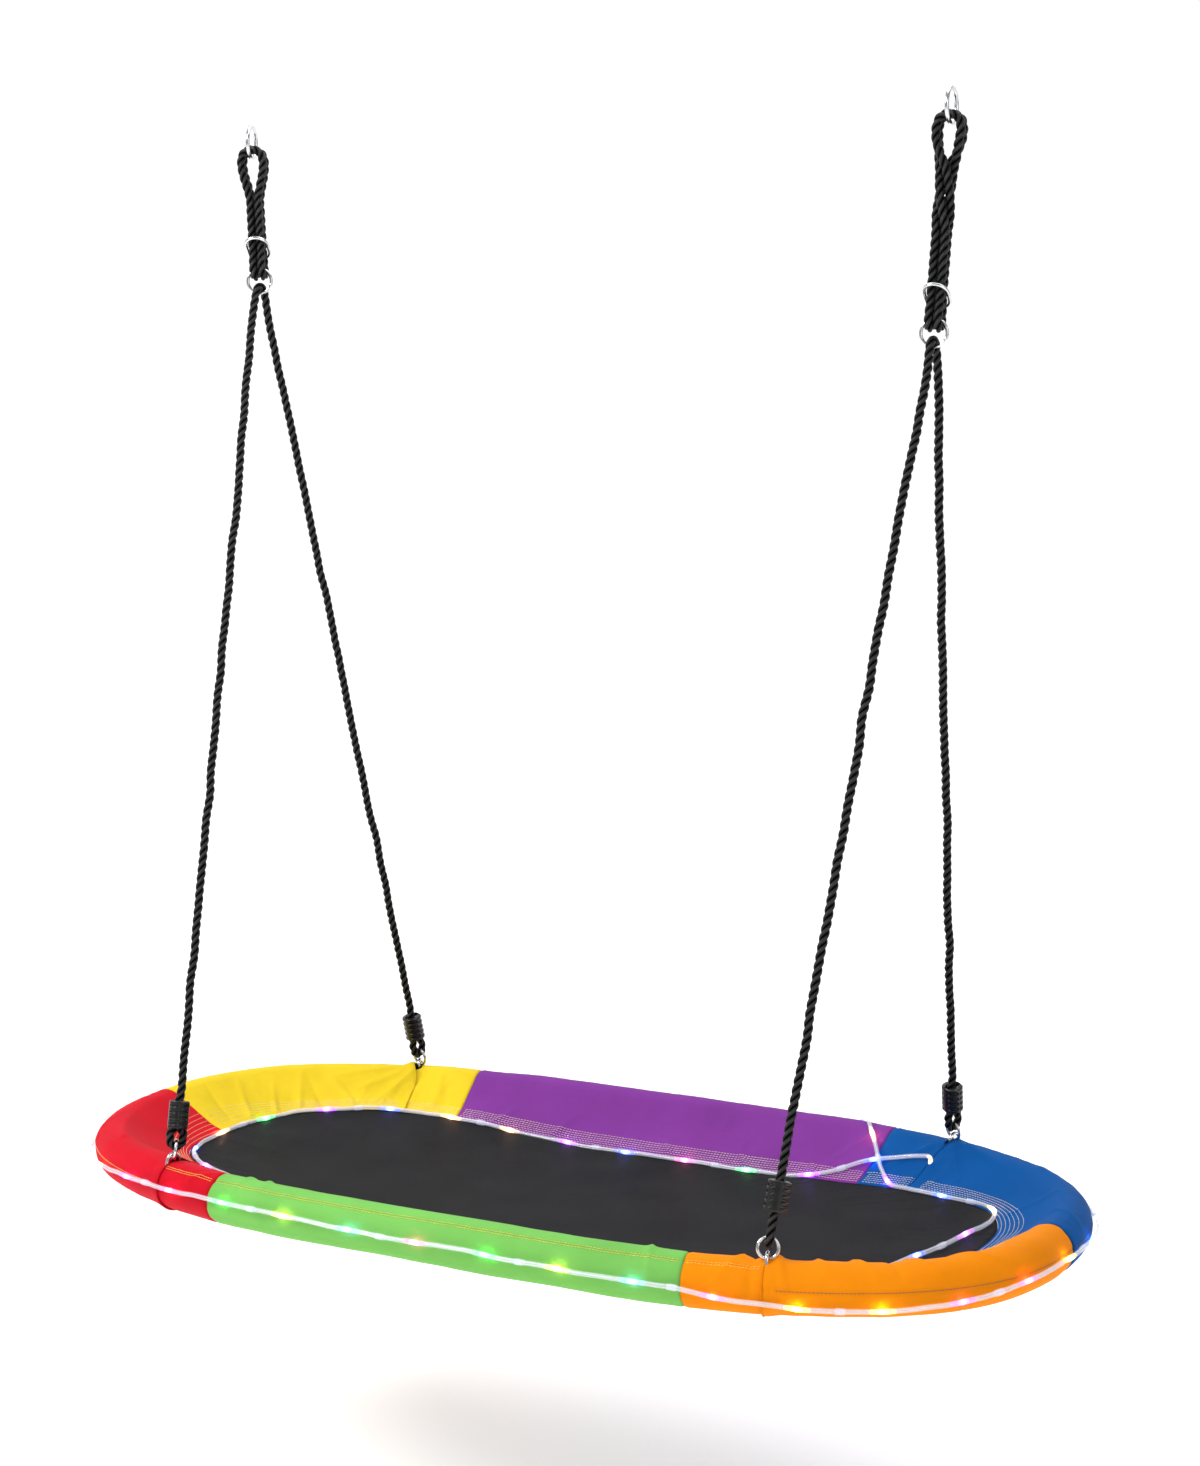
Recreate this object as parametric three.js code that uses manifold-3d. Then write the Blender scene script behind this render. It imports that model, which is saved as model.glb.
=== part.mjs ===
// Platform swing: an oval padded seat, 1524 x 801 mm, hung from two rings by black laid rope.
// Millimetres, +Z up. +X runs along the seat, +Y to its far side. The origin is midway between
// the two hang rings, on the line where hooks would carry them.
import * as THREE from 'three';
import { mergeVertices } from 'three/addons/utils/BufferGeometryUtils.js';
import Module from 'manifold-3d';

const wasm = await Module();
wasm.setup();

// ---- driving dimensions ----
const HANG_HEIGHT = 1520;        // hang line above the seat frame's centre plane
const HANG_X = 554;              // half the distance between the hang rings
const OVAL_A = 727.5;            // half length of the frame tube's centre line
const OVAL_B = 366;              // half width of the frame tube's centre line
const OVAL_STRAIGHT = 129;       // half length of the straight stretch on each side
const OVAL_POWER = 2.5;          // superellipse exponent of the rounded ends

const TUBE_R = 14;               // steel tube, outer radius
const TUBE_WALL = 1.5;
const FOAM_R = 30.8;             // foam sleeve, outer radius
const COVER_R = 34.5;            // fabric cover, outer radius
const COVER_SKIN = 2;
const BAND = 106;                // the cover's inner band reaches this far in from the tube
const MAT_Z = -40;               // top of the mat
const MAT_THICK = 3;
const MAT_EDGE_GAP = 0.6;        // between the mat and the cover's inner edge

const ROPE_R = 6;
const EYE_X = 466;               // rope eyes, along the seat
const EYE_U = 0.12346;           // the same place as a fraction of the oval's length
const END_STEPS = 7;             // stations from a tip to an eye
const SIDE_STEPS = 9;            // stations from an eye to the next
const END_STEP = EYE_U / END_STEPS;
const SIDE_STEP = (0.5 - 2 * EYE_U) / SIDE_STEPS;
const SEAM_U = EYE_U + SIDE_STEP;        // colour seam between an end piece and a side piece
const SPLICE_U = EYE_U + 2 * SIDE_STEP;  // joint between end tube and side tube
const EYE_GAP = 8;               // half the opening left in foam and cover at an eye
const SEAM_GAP = 0.5;            // half the gap between neighbouring pieces

const RING_Z = 50;               // seat ring's centre above the frame's centre plane
const SEAT_RING = { r: 13.5, wire: 2.25 };
const HANG_RING = { r: 23, wire: 3 };
const CINCH_RING = { r: 16.5, wire: 2.5, stretch: 6, tilt: 40 };
const ADJUST_RING = { r: 18, wire: 2.5 };
const CINCH_RISE = 48;           // cinch ring above the adjuster ring
const EYE_ROD = { r: 2.75, bend: 10, drop: 5.5, shoulder: -22 };

const STRAND = 6.3;              // half spacing of neighbouring rope strands
const BRIDLE_HALF = 10.5;        // half width of the bridle rope's bend over its ring
const TAIL = 24;                 // rope's tail inside the clamp
const CLAMP = { height: 40, r: 15.5, groove: 1.5, slotHalf: 12.7, slotR: 6.5 };
const CLAMP_RIBS = [-12.6, -4.2, 4.2, 12.6];
const CLAMP_RIB_HALF = 2.4;

const SLEEVE_R = TUBE_R - TUBE_WALL - 1.5;
const SLEEVE_HALF = 45;          // half length of a splice sleeve
const BUTTON_R = 3.5;
const BUTTON_OUT = 22;           // spring button's distance from its splice

const TWIST = { top: -46, bottom: -160 };  // stretch below the hang ring where strands twist
const LIGHT_R = 3.25;

// Battery box in a fabric pouch under the mat, beside the far right rope eye.
const BOX = { length: 70, width: 48, height: 22, out: -148, z: -58, lid: 3 };
const POUCH_WALL = 1.5;
const SWITCH_X = 22;             // switch's place along the box

// Each corner: x sign, y sign, azimuth of the seat ring's normal, rope loop under the clamp and
// place along the oval.
const CORNERS = [
  { name: 'near_left', sx: -1, sy: -1, azimuth: 40, loop: 14, u: 0.5 + EYE_U },
  { name: 'far_left', sx: -1, sy: 1, azimuth: 73, loop: 18, u: 0.5 - EYE_U },
  { name: 'near_right', sx: 1, sy: -1, azimuth: 112, loop: 31, u: 1 - EYE_U },
  { name: 'far_right', sx: 1, sy: 1, azimuth: 64, loop: 20, u: EYE_U },
];

// Each side: height of the pivot where the bridle rope hangs in its ring, yaw of the ring, twist.
const SIDES = [
  { name: 'left', sx: -1, pivotZ: 1278, yaw: 20, twist: 0 },
  { name: 'right', sx: 1, pivotZ: 1190, yaw: 5, twist: 180 },
];

const COLOURS = {
  red: 0xd6162a,
  yellow: 0xf2d52f,
  purple: 0x87399a,
  blue: 0x00509a,
  orange: 0xf5941f,
  green: 0x80c665,
};

// ---- materials ----
const steel = () => new THREE.MeshStandardMaterial({ color: 0xc9ccd0, roughness: 0.25, metalness: 1 });
const rope = () => new THREE.MeshStandardMaterial({ color: 0x151515, roughness: 0.7, metalness: 0 });
const plastic = () => new THREE.MeshStandardMaterial({ color: 0x1a1a1b, roughness: 0.45, metalness: 0 });
const foam = () => new THREE.MeshStandardMaterial({ color: 0x3a3a3c, roughness: 0.9, metalness: 0 });
const fabric = (color) => new THREE.MeshStandardMaterial({ color, roughness: 0.75, metalness: 0 });
const clearTube = () => new THREE.MeshStandardMaterial({ color: 0xe8ecf2, roughness: 0.15, metalness: 0 });

const swing = new THREE.Group();
const seat = new THREE.Group();
seat.position.z = -HANG_HEIGHT;
swing.add(seat);

function place(parent, name, geometry, material) {
  const mesh = new THREE.Mesh(geometry, material);
  mesh.name = name;
  parent.add(mesh);
  return mesh;
}

// ---- solids ----
function toManifold(geometry) {
  const bare = geometry.clone();
  bare.deleteAttribute('normal');
  bare.deleteAttribute('uv');
  const merged = mergeVertices(bare, 1e-4);
  return new wasm.Manifold(new wasm.Mesh({
    numProp: 3,
    vertProperties: new Float32Array(merged.attributes.position.array),
    triVerts: new Uint32Array(merged.index.array),
  }));
}

function fromManifold(solid) {
  const mesh = solid.getMesh();
  const geometry = new THREE.BufferGeometry();
  geometry.setAttribute('position', new THREE.BufferAttribute(mesh.vertProperties, 3));
  geometry.setIndex(new THREE.BufferAttribute(mesh.triVerts, 1));
  geometry.computeVertexNormals();
  return geometry;
}

function cut(body, ...tools) {
  let solid = toManifold(body);
  for (const tool of tools) {
    solid = solid.subtract(toManifold(tool));
  }
  return fromManifold(solid);
}

// A route whose stations are its control points, so that bends are finer than straight runs.
class RouteCurve extends THREE.CatmullRomCurve3 {
  getPointAt(u, target) {
    return this.getPoint(u, target);
  }

  getTangentAt(u, target) {
    return this.getTangent(u, target);
  }
}

function circleShape(radius, sides) {
  const shape = new THREE.Shape();
  for (let i = 0; i < sides; i++) {
    const a = (i + 0.5) * 2 * Math.PI / sides;
    const x = radius * Math.cos(a);
    const y = radius * Math.sin(a);
    if (i === 0) {
      shape.moveTo(x, y);
    } else {
      shape.lineTo(x, y);
    }
  }
  shape.closePath();
  return shape;
}

function tube(points, radius, sides = 8) {
  const curve = new RouteCurve(points, false, 'centripetal');
  return new THREE.ExtrudeGeometry(circleShape(radius, sides), {
    steps: points.length - 1,
    extrudePath: curve,
    bevelEnabled: false,
  });
}

// A ring in the local XY plane, drawn out along Y by `stretch` each way.
function ringGeometry({ r, wire, stretch = 0 }, sides = 8, segments = 20) {
  const geometry = new THREE.TorusGeometry(r, wire, sides, segments);
  const position = geometry.attributes.position;
  for (let i = 0; i < position.count; i++) {
    const y = position.getY(i);
    if (Math.abs(y) > 1e-3) {
      position.setY(i, y + Math.sign(y) * stretch);
    }
  }
  return geometry;
}

function cylinderBetween(a, b, radius, sides = 12) {
  const length = a.distanceTo(b);
  const geometry = new THREE.CylinderGeometry(radius, radius, length, sides);
  const turn = new THREE.Quaternion().setFromUnitVectors(
    new THREE.Vector3(0, 1, 0),
    b.clone().sub(a).normalize(),
  );
  geometry.applyQuaternion(turn);
  const middle = a.clone().add(b).multiplyScalar(0.5);
  geometry.translate(middle.x, middle.y, middle.z);
  return geometry;
}

// ---- the oval ----
// Quarter points run from the tip on +X to the middle of the far side.
function buildOval() {
  const quarter = [];
  const count = 400;
  for (let i = 0; i <= count; i++) {
    const t = (i / count) * Math.PI / 2;
    const power = 2 / OVAL_POWER;
    const x = OVAL_STRAIGHT + (OVAL_A - OVAL_STRAIGHT) * Math.pow(Math.max(0, Math.cos(t)), power);
    const y = OVAL_B * Math.pow(Math.sin(t), power);
    quarter.push(new THREE.Vector2(x, y));
  }
  quarter.push(new THREE.Vector2(0, OVAL_B));
  const lengths = [0];
  for (let i = 1; i < quarter.length; i++) {
    lengths.push(lengths[i - 1] + quarter[i].distanceTo(quarter[i - 1]));
  }
  return { quarter, lengths, quarterLength: lengths[lengths.length - 1] };
}

const oval = buildOval();
const OVAL_LENGTH = 4 * oval.quarterLength;

function quarterPoint(distance) {
  const { quarter, lengths } = oval;
  let i = 1;
  while (i < lengths.length - 1 && lengths[i] < distance) {
    i += 1;
  }
  const f = (distance - lengths[i - 1]) / (lengths[i] - lengths[i - 1]);
  return quarter[i - 1].clone().lerp(quarter[i], f);
}

// Point of the centre line at fraction u of its length, anticlockwise from the +X tip.
function ovalPoint(u) {
  const turn = ((u % 1) + 1) % 1;
  const q = Math.min(3, Math.floor(turn * 4));
  const rest = turn * 4 - q;
  const odd = q % 2 === 1;
  const p = quarterPoint((odd ? 1 - rest : rest) * oval.quarterLength);
  const sx = q === 1 || q === 2 ? -1 : 1;
  const sy = q >= 2 ? -1 : 1;
  return new THREE.Vector2(sx * p.x, sy * p.y);
}

function ovalTangent(u) {
  const step = 0.002;
  return ovalPoint(u + step).sub(ovalPoint(u - step)).normalize();
}

// A point `out` mm outside the centre line and z above the frame's centre plane.
function rimPoint(u, out, z) {
  const p = ovalPoint(u);
  const t = ovalTangent(u);
  return new THREE.Vector3(p.x + t.y * out, p.y - t.x * out, z);
}

// Stations that every piece along the oval shares, so that nested pieces keep their gaps.
function buildStations() {
  const list = [];
  for (const tip of [-0.5, 0, 0.5, 1]) {
    for (let k = -END_STEPS; k <= END_STEPS; k++) {
      list.push(tip + k * END_STEP);
    }
    for (let k = 1; k < SIDE_STEPS; k++) {
      list.push(tip + EYE_U + k * SIDE_STEP);
    }
  }
  return list;
}

const STATIONS = buildStations();

// Part of the oval as a path for extrusion, one step to a station.
class OvalArc extends THREE.Curve {
  constructor(from, to) {
    super();
    const near = 0.002;
    const between = STATIONS.filter((u) => u > from + near && u < to - near);
    this.stations = [from, ...between, to];
    this.steps = this.stations.length - 1;
  }

  stationAt(t) {
    return this.stations[Math.round(t * this.steps)];
  }

  getPoint(t, target = new THREE.Vector3()) {
    const p = ovalPoint(this.stationAt(t));
    return target.set(p.x, p.y, 0);
  }

  getPointAt(t, target) {
    return this.getPoint(t, target);
  }

  getTangent(t, target = new THREE.Vector3()) {
    const d = ovalTangent(this.stationAt(t));
    return target.set(d.x, d.y, 0);
  }

  getTangentAt(t, target) {
    return this.getTangent(t, target);
  }
}

// Extrude a section along the oval. The section's x is downwards and its y is inwards.
function alongOval(shape, from, to) {
  const arc = new OvalArc(from, to);
  return new THREE.ExtrudeGeometry(shape, { steps: arc.steps, extrudePath: arc, bevelEnabled: false });
}

function pipeShape(outer, inner, sides) {
  const shape = circleShape(outer, sides);
  shape.holes.push(circleShape(inner, sides));
  return shape;
}

// Section of the cover: a round sleeve drawn in to the mat's edge like a drop.
function dropPoints(radius, reach, depth, sides) {
  const distance = Math.hypot(reach, depth);
  const lean = Math.atan2(depth, reach);
  const open = Math.acos(radius / distance);
  const points = [];
  for (let i = 0; i <= sides; i++) {
    const a = lean + open + (2 * Math.PI - 2 * open) * (i / sides);
    points.push(new THREE.Vector2(radius * Math.sin(a), radius * Math.cos(a)));
  }
  points.push(new THREE.Vector2(depth, reach));
  return points.reverse();
}

function coverShape() {
  const drop = -MAT_Z;
  const shape = new THREE.Shape(dropPoints(COVER_R, BAND, drop, 9));
  const reach = BAND - 6 * COVER_SKIN;
  const hole = dropPoints(COVER_R - COVER_SKIN, reach, drop * reach / BAND, 7);
  shape.holes.push(new THREE.Path(hole));
  return shape;
}

// ---- frame, foam and cover ----
const mmToU = (length) => length / OVAL_LENGTH;

function frameTubes() {
  const section = () => pipeShape(TUBE_R, TUBE_R - TUBE_WALL, 8);
  const gap = mmToU(SEAM_GAP);
  const pieces = [
    { name: 'frame_end_right', from: -SPLICE_U, to: SPLICE_U },
    { name: 'frame_side_far', from: SPLICE_U, to: 0.5 - SPLICE_U },
    { name: 'frame_end_left', from: 0.5 - SPLICE_U, to: 0.5 + SPLICE_U },
    { name: 'frame_side_near', from: 0.5 + SPLICE_U, to: 1 - SPLICE_U },
  ];
  for (const { name, from, to } of pieces) {
    const pipe = alongOval(section(), from + gap, to - gap);
    const isSide = name.startsWith('frame_side');
    const holes = isSide ? [buttonHole(from, 1), buttonHole(to, -1)] : [];
    place(seat, name, isSide ? cut(pipe, ...holes) : pipe, steel());
  }
}

// Spring buttons sit in the side tubes.
function buttonLine(u, direction, low, high) {
  const at = u + direction * mmToU(BUTTON_OUT);
  const p = ovalPoint(at);
  return [new THREE.Vector3(p.x, p.y, low), new THREE.Vector3(p.x, p.y, high)];
}

function buttonHole(u, direction) {
  const [a, b] = buttonLine(u, direction, -TUBE_R - 4, -4);
  return cylinderBetween(a, b, BUTTON_R + 0.4, 10);
}

// Inner sleeves join the tubes; a spring button through each one locks the side tube on it.
function splices() {
  const half = mmToU(SLEEVE_HALF);
  const places = [
    { corner: 'far_right', u: SPLICE_U, direction: 1 },
    { corner: 'far_left', u: 0.5 - SPLICE_U, direction: -1 },
    { corner: 'near_left', u: 0.5 + SPLICE_U, direction: 1 },
    { corner: 'near_right', u: 1 - SPLICE_U, direction: -1 },
  ];
  for (const { corner, u, direction } of places) {
    const sleeve = alongOval(pipeShape(SLEEVE_R, SLEEVE_R - TUBE_WALL, 8), u - half, u + half);
    place(seat, `splice_sleeve_${corner}`, cut(sleeve, buttonHole(u, direction)), steel());
    const [a, b] = buttonLine(u, direction, -TUBE_R + 0.9, -5);
    place(seat, `spring_button_${corner}`, cylinderBetween(a, b, BUTTON_R, 8), steel());
  }
}

function foamSleeves() {
  const gap = mmToU(EYE_GAP);
  const shape = () => pipeShape(FOAM_R, TUBE_R + 0.6, 8);
  const pieces = [
    { name: 'foam_end_right', from: -EYE_U, to: EYE_U },
    { name: 'foam_side_far', from: EYE_U, to: 0.5 - EYE_U },
    { name: 'foam_end_left', from: 0.5 - EYE_U, to: 0.5 + EYE_U },
    { name: 'foam_side_near', from: 0.5 + EYE_U, to: 1 - EYE_U },
  ];
  for (const { name, from, to } of pieces) {
    place(seat, name, alongOval(shape(), from + gap, to - gap), foam());
  }
}

// Ten sewn pieces of cover. Each corner colour is split at its rope eye. A piece stops short of
// its seams by the seam gap and of its eyes by the eye gap.
function covers() {
  const eye = mmToU(EYE_GAP);
  const seam = mmToU(SEAM_GAP);
  const pieces = [
    { name: 'blue', from: seam, to: EYE_U - eye },
    { name: 'blue_flap', from: EYE_U + eye, to: SEAM_U - seam },
    { name: 'purple', from: SEAM_U + seam, to: 0.5 - SEAM_U - seam },
    { name: 'yellow_flap', from: 0.5 - SEAM_U + seam, to: 0.5 - EYE_U - eye },
    { name: 'yellow', from: 0.5 - EYE_U + eye, to: 0.5 - seam },
    { name: 'red', from: 0.5 + seam, to: 0.5 + EYE_U - eye },
    { name: 'red_flap', from: 0.5 + EYE_U + eye, to: 0.5 + SEAM_U - seam },
    { name: 'green', from: 0.5 + SEAM_U + seam, to: 1 - SEAM_U - seam },
    { name: 'orange_flap', from: 1 - SEAM_U + seam, to: 1 - EYE_U - eye },
    { name: 'orange', from: 1 - EYE_U + eye, to: 1 - seam },
  ];
  for (const { name, from, to } of pieces) {
    const colour = COLOURS[name.replace('_flap', '')];
    place(seat, `cover_${name}`, alongOval(coverShape(), from, to), fabric(colour));
  }
}

// The mat shares the cover's stations, so that the gap between them is even.
function mat() {
  const once = STATIONS.filter((u) => u > -1e-6 && u < 1 - 1e-6).sort((a, b) => a - b);
  const outline = once.map((u) => {
    const p = rimPoint(u, -BAND - MAT_EDGE_GAP, 0);
    return new THREE.Vector2(p.x, p.y);
  });
  const geometry = new THREE.ExtrudeGeometry(new THREE.Shape(outline), {
    depth: MAT_THICK,
    steps: 1,
    bevelEnabled: false,
  });
  geometry.translate(0, 0, MAT_Z - MAT_THICK);
  place(seat, 'mat', geometry, fabric(0x2f2f31));
}

// ---- rope hardware at the seat ----
// Axes of a corner: `up` along the rope leg, `normal` through the seat ring, `side` in its plane.
function cornerFrame({ sx, sy, azimuth }) {
  const eyeY = ovalPoint(EYE_U).y;
  const centre = new THREE.Vector3(sx * EYE_X, sy * eyeY, RING_Z);
  const side = SIDES.find((s) => s.sx === sx);
  const shoulder = pivotPoint(side).add(new THREE.Vector3(0, sy * BRIDLE_HALF, 0));
  const up = shoulder.clone().sub(centre).normalize();
  const a = THREE.MathUtils.degToRad(azimuth);
  const level = new THREE.Vector3(Math.cos(a), Math.sin(a), 0);
  const normal = level.addScaledVector(up, -level.dot(up)).normalize();
  const across = new THREE.Vector3().crossVectors(up, normal);
  return { centre, up, normal, across };
}

function pivotPoint({ sx, pivotZ }) {
  const lean = (HANG_X - EYE_X) / (HANG_HEIGHT - HANG_RING.r + HANG_RING.wire - RING_Z);
  return new THREE.Vector3(sx * (EYE_X + (pivotZ - RING_Z) * lean), 0, pivotZ);
}

function orient(geometry, x, y, z, origin) {
  geometry.applyMatrix4(new THREE.Matrix4().makeBasis(x, y, z).setPosition(origin));
  return geometry;
}

function seatRing(corner) {
  const { centre, up, normal, across } = cornerFrame(corner);
  const geometry = orient(ringGeometry(SEAT_RING, 6, 16), across, up, normal, centre);
  place(seat, `seat_ring_${corner.name}`, geometry, steel());
}

// Rope eye: a bent rod welded astride the frame tube, leaning in towards the rope.
function ropeEye(corner) {
  const { centre, up: leg } = cornerFrame(corner);
  const tangent = ovalTangent(corner.u);
  const along = new THREE.Vector3(tangent.x, tangent.y, 0);
  const up = leg.clone().addScaledVector(along, -leg.dot(along)).normalize();
  const lateral = new THREE.Vector3().crossVectors(up, along).normalize();
  const top = centre.clone().addScaledVector(up, -EYE_ROD.drop);
  const at = (side, height) => top.clone()
    .addScaledVector(lateral, side)
    .addScaledVector(up, height);
  const { bend, shoulder } = EYE_ROD;
  const foot = -RING_Z + EYE_ROD.drop + 6;
  const points = [at(-bend, foot), at(-bend, shoulder), at(-bend, -bend)];
  for (const angle of [-45, 0, 45]) {
    const a = THREE.MathUtils.degToRad(angle);
    points.push(at(bend * Math.sin(a), bend * (Math.cos(a) - 1)));
  }
  points.push(at(bend, -bend), at(bend, shoulder), at(bend, foot));
  const p = new THREE.Vector3(centre.x, centre.y, 0);
  const reach = along.clone().multiplyScalar(2 * TUBE_R);
  const saddle = cylinderBetween(p.clone().sub(reach), p.clone().add(reach), TUBE_R + 0.7, 16);
  place(seat, `rope_eye_${corner.name}`, cut(tube(points, EYE_ROD.r, 6), saddle), steel());
}

function clampBase(corner) {
  return SEAT_RING.r + SEAT_RING.wire + corner.loop;
}

// Rope clamp: a ribbed barrel with one slot for the rope and its tail.
function ropeClamp(corner) {
  const { centre, up, normal, across } = cornerFrame(corner);
  const half = CLAMP.height / 2;
  const core = CLAMP.r - CLAMP.groove;
  const profile = [new THREE.Vector2(0, -half), new THREE.Vector2(core, -half)];
  for (const rib of CLAMP_RIBS) {
    profile.push(new THREE.Vector2(CLAMP.r, rib - CLAMP_RIB_HALF));
    profile.push(new THREE.Vector2(CLAMP.r, rib + CLAMP_RIB_HALF));
  }
  profile.push(new THREE.Vector2(core, half), new THREE.Vector2(0, half));
  const barrel = new THREE.LatheGeometry(profile, 12);
  const slot = new THREE.Shape();
  const straight = CLAMP.slotHalf - CLAMP.slotR;
  slot.absarc(straight, 0, CLAMP.slotR, -Math.PI / 2, Math.PI / 2);
  slot.absarc(-straight, 0, CLAMP.slotR, Math.PI / 2, 1.5 * Math.PI);
  const channel = new THREE.ExtrudeGeometry(slot, {
    depth: CLAMP.height + 10,
    steps: 1,
    bevelEnabled: false,
    curveSegments: 6,
  });
  channel.rotateX(-Math.PI / 2);
  channel.translate(0, -half - 5, 0);
  const middle = centre.clone().addScaledVector(up, clampBase(corner) + half);
  const geometry = orient(cut(barrel, channel), normal, up, across.clone().negate(), middle);
  place(seat, `rope_clamp_${corner.name}`, geometry, plastic());
}

// ---- bridle ropes ----
// One rope a side: tail in the clamp, round the seat ring, up over the adjuster ring and down.
function bridleLeg(corner) {
  const { centre, up, normal } = cornerFrame(corner);
  const at = (height, offset) => centre.clone()
    .addScaledVector(up, height)
    .addScaledVector(normal, offset);
  const wire = SEAT_RING.r;
  const bend = SEAT_RING.wire + ROPE_R + 0.5;
  const base = clampBase(corner);
  const bulge = bend + 0.2;
  return [
    at(base + TAIL, STRAND),
    at(base - 2, STRAND),
    at(wire + 11, bulge),
    at(wire, bend),
    at(wire - bend * 0.71, bend * 0.71),
    at(wire - bend, 0),
    at(wire - bend * 0.71, -bend * 0.71),
    at(wire, -bend),
    at(wire + 11, -bulge),
    at(base - 2, -STRAND),
    at(base + TAIL, -STRAND),
    at(base + CLAMP.height + 6, 0),
    at(base + CLAMP.height + 60, 0),
    at(500, 0),
    at(800, 0),
  ];
}

function bridleRope(side) {
  const near = CORNERS.find((c) => c.sx === side.sx && c.sy === -1);
  const far = CORNERS.find((c) => c.sx === side.sx && c.sy === 1);
  const pivot = pivotPoint(side);
  const rise = ADJUST_RING.wire + ROPE_R + 1;
  const over = (y, z) => pivot.clone().add(new THREE.Vector3(0, y, z));
  const points = [
    ...bridleLeg(near),
    over(-BRIDLE_HALF - 11, -42),
    over(-BRIDLE_HALF, 0),
    over(-BRIDLE_HALF * 0.66, rise * 0.72),
    over(0, rise),
    over(BRIDLE_HALF * 0.66, rise * 0.72),
    over(BRIDLE_HALF, 0),
    over(BRIDLE_HALF + 11, -42),
    ...bridleLeg(far).reverse(),
  ];
  place(seat, `bridle_rope_${side.name}`, tube(points, ROPE_R), rope());
}

// ---- hang rings, hang ropes and adjusters ----
function hangFrame(side) {
  const ringZ = HANG_HEIGHT - HANG_RING.r + HANG_RING.wire;
  const centre = new THREE.Vector3(side.sx * HANG_X, 0, ringZ);
  const pivot = pivotPoint(side);
  const up = centre.clone().sub(pivot).normalize();
  const a = THREE.MathUtils.degToRad(side.yaw);
  const level = new THREE.Vector3(Math.cos(a), Math.sin(a), 0);
  const e1 = level.clone().addScaledVector(up, -level.dot(up)).normalize();
  const e2 = new THREE.Vector3().crossVectors(up, e1);
  const adjustZ = ADJUST_RING.r - centre.distanceTo(pivot);
  return { centre, up, level, e1, e2, adjustZ };
}

function hangRing(side) {
  const { centre, level } = hangFrame(side);
  const z = new THREE.Vector3(0, 0, 1);
  const x = new THREE.Vector3().crossVectors(z, level);
  const geometry = orient(ringGeometry(HANG_RING, 8, 24), x, z, level, centre);
  place(seat, `hang_ring_${side.name}`, geometry, steel());
}

function adjusterRings(side) {
  const { centre, up, e1, e2, adjustZ } = hangFrame(side);
  const low = centre.clone().addScaledVector(up, adjustZ);
  const round = orient(ringGeometry(ADJUST_RING, 8, 20), e1, up, e2.clone().negate(), low);
  place(seat, `adjust_ring_${side.name}`, round, steel());
  const tilt = THREE.MathUtils.degToRad(CINCH_RING.tilt);
  const long = e2.clone().multiplyScalar(-Math.cos(tilt)).addScaledVector(up, Math.sin(tilt));
  const flat = new THREE.Vector3().crossVectors(e1, long);
  const high = low.clone().addScaledVector(up, CINCH_RISE);
  const link = orient(ringGeometry(CINCH_RING, 6, 20), e1, long, flat, high);
  place(seat, `cinch_ring_${side.name}`, link, steel());
}

// Four strands: twice over the hang ring above, twice into the adjuster ring below. The strands
// twist over one stretch.
function hangRope(side) {
  const { centre, up, e1, e2, adjustZ: low } = hangFrame(side);
  const turn = THREE.MathUtils.degToRad(side.twist);
  const at = (a, b, height) => {
    const f = THREE.MathUtils.clamp((TWIST.top - height) / (TWIST.top - TWIST.bottom), 0, 1);
    const angle = turn * f;
    const x = a * Math.cos(angle) - b * Math.sin(angle);
    const y = a * Math.sin(angle) + b * Math.cos(angle);
    return centre.clone()
      .addScaledVector(up, height)
      .addScaledVector(e1, x)
      .addScaledVector(e2, y);
  };
  const strand = (sa, sb) => {
    const heights = [
      [16.5, -28],
      [15, -46],
      [10.5, -64],
      [STRAND, -84],
      [STRAND, -103],
      [STRAND, -122],
      [STRAND, -141],
    ];
    const list = heights.map(([a, z]) => at(sa * a, sb * STRAND, z));
    if (side.twist) {
      list.push(at(sa * STRAND, sb * STRAND, -160), at(sa * STRAND, sb * STRAND, -200));
    }
    list.push(at(sa * STRAND, sb * STRAND, low + 40));
    list.push(at(sa * STRAND, sb * 9.2, low + 20));
    list.push(at(sa * STRAND, sb * 7, low + 9.5));
    return list;
  };
  const bightTop = (sb) => [
    at(-12, sb * STRAND, -15.4),
    at(0, sb * STRAND, -10),
    at(12, sb * STRAND, -15.4),
  ];
  const first = strand(-1, 1).reverse();
  const second = strand(1, 1);
  const third = strand(1, -1).reverse();
  const last = strand(-1, -1);
  const points = [
    at(-STRAND, 0.6, low + 6.3),
    ...first,
    ...bightTop(1),
    ...second,
    at(STRAND, 0, low + 6.3),
    ...third,
    ...bightTop(-1).reverse(),
    ...last,
    at(-STRAND, -0.6, low + 6.3),
  ];
  place(seat, `hang_rope_${side.name}`, tube(points, ROPE_R), rope());
}

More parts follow.
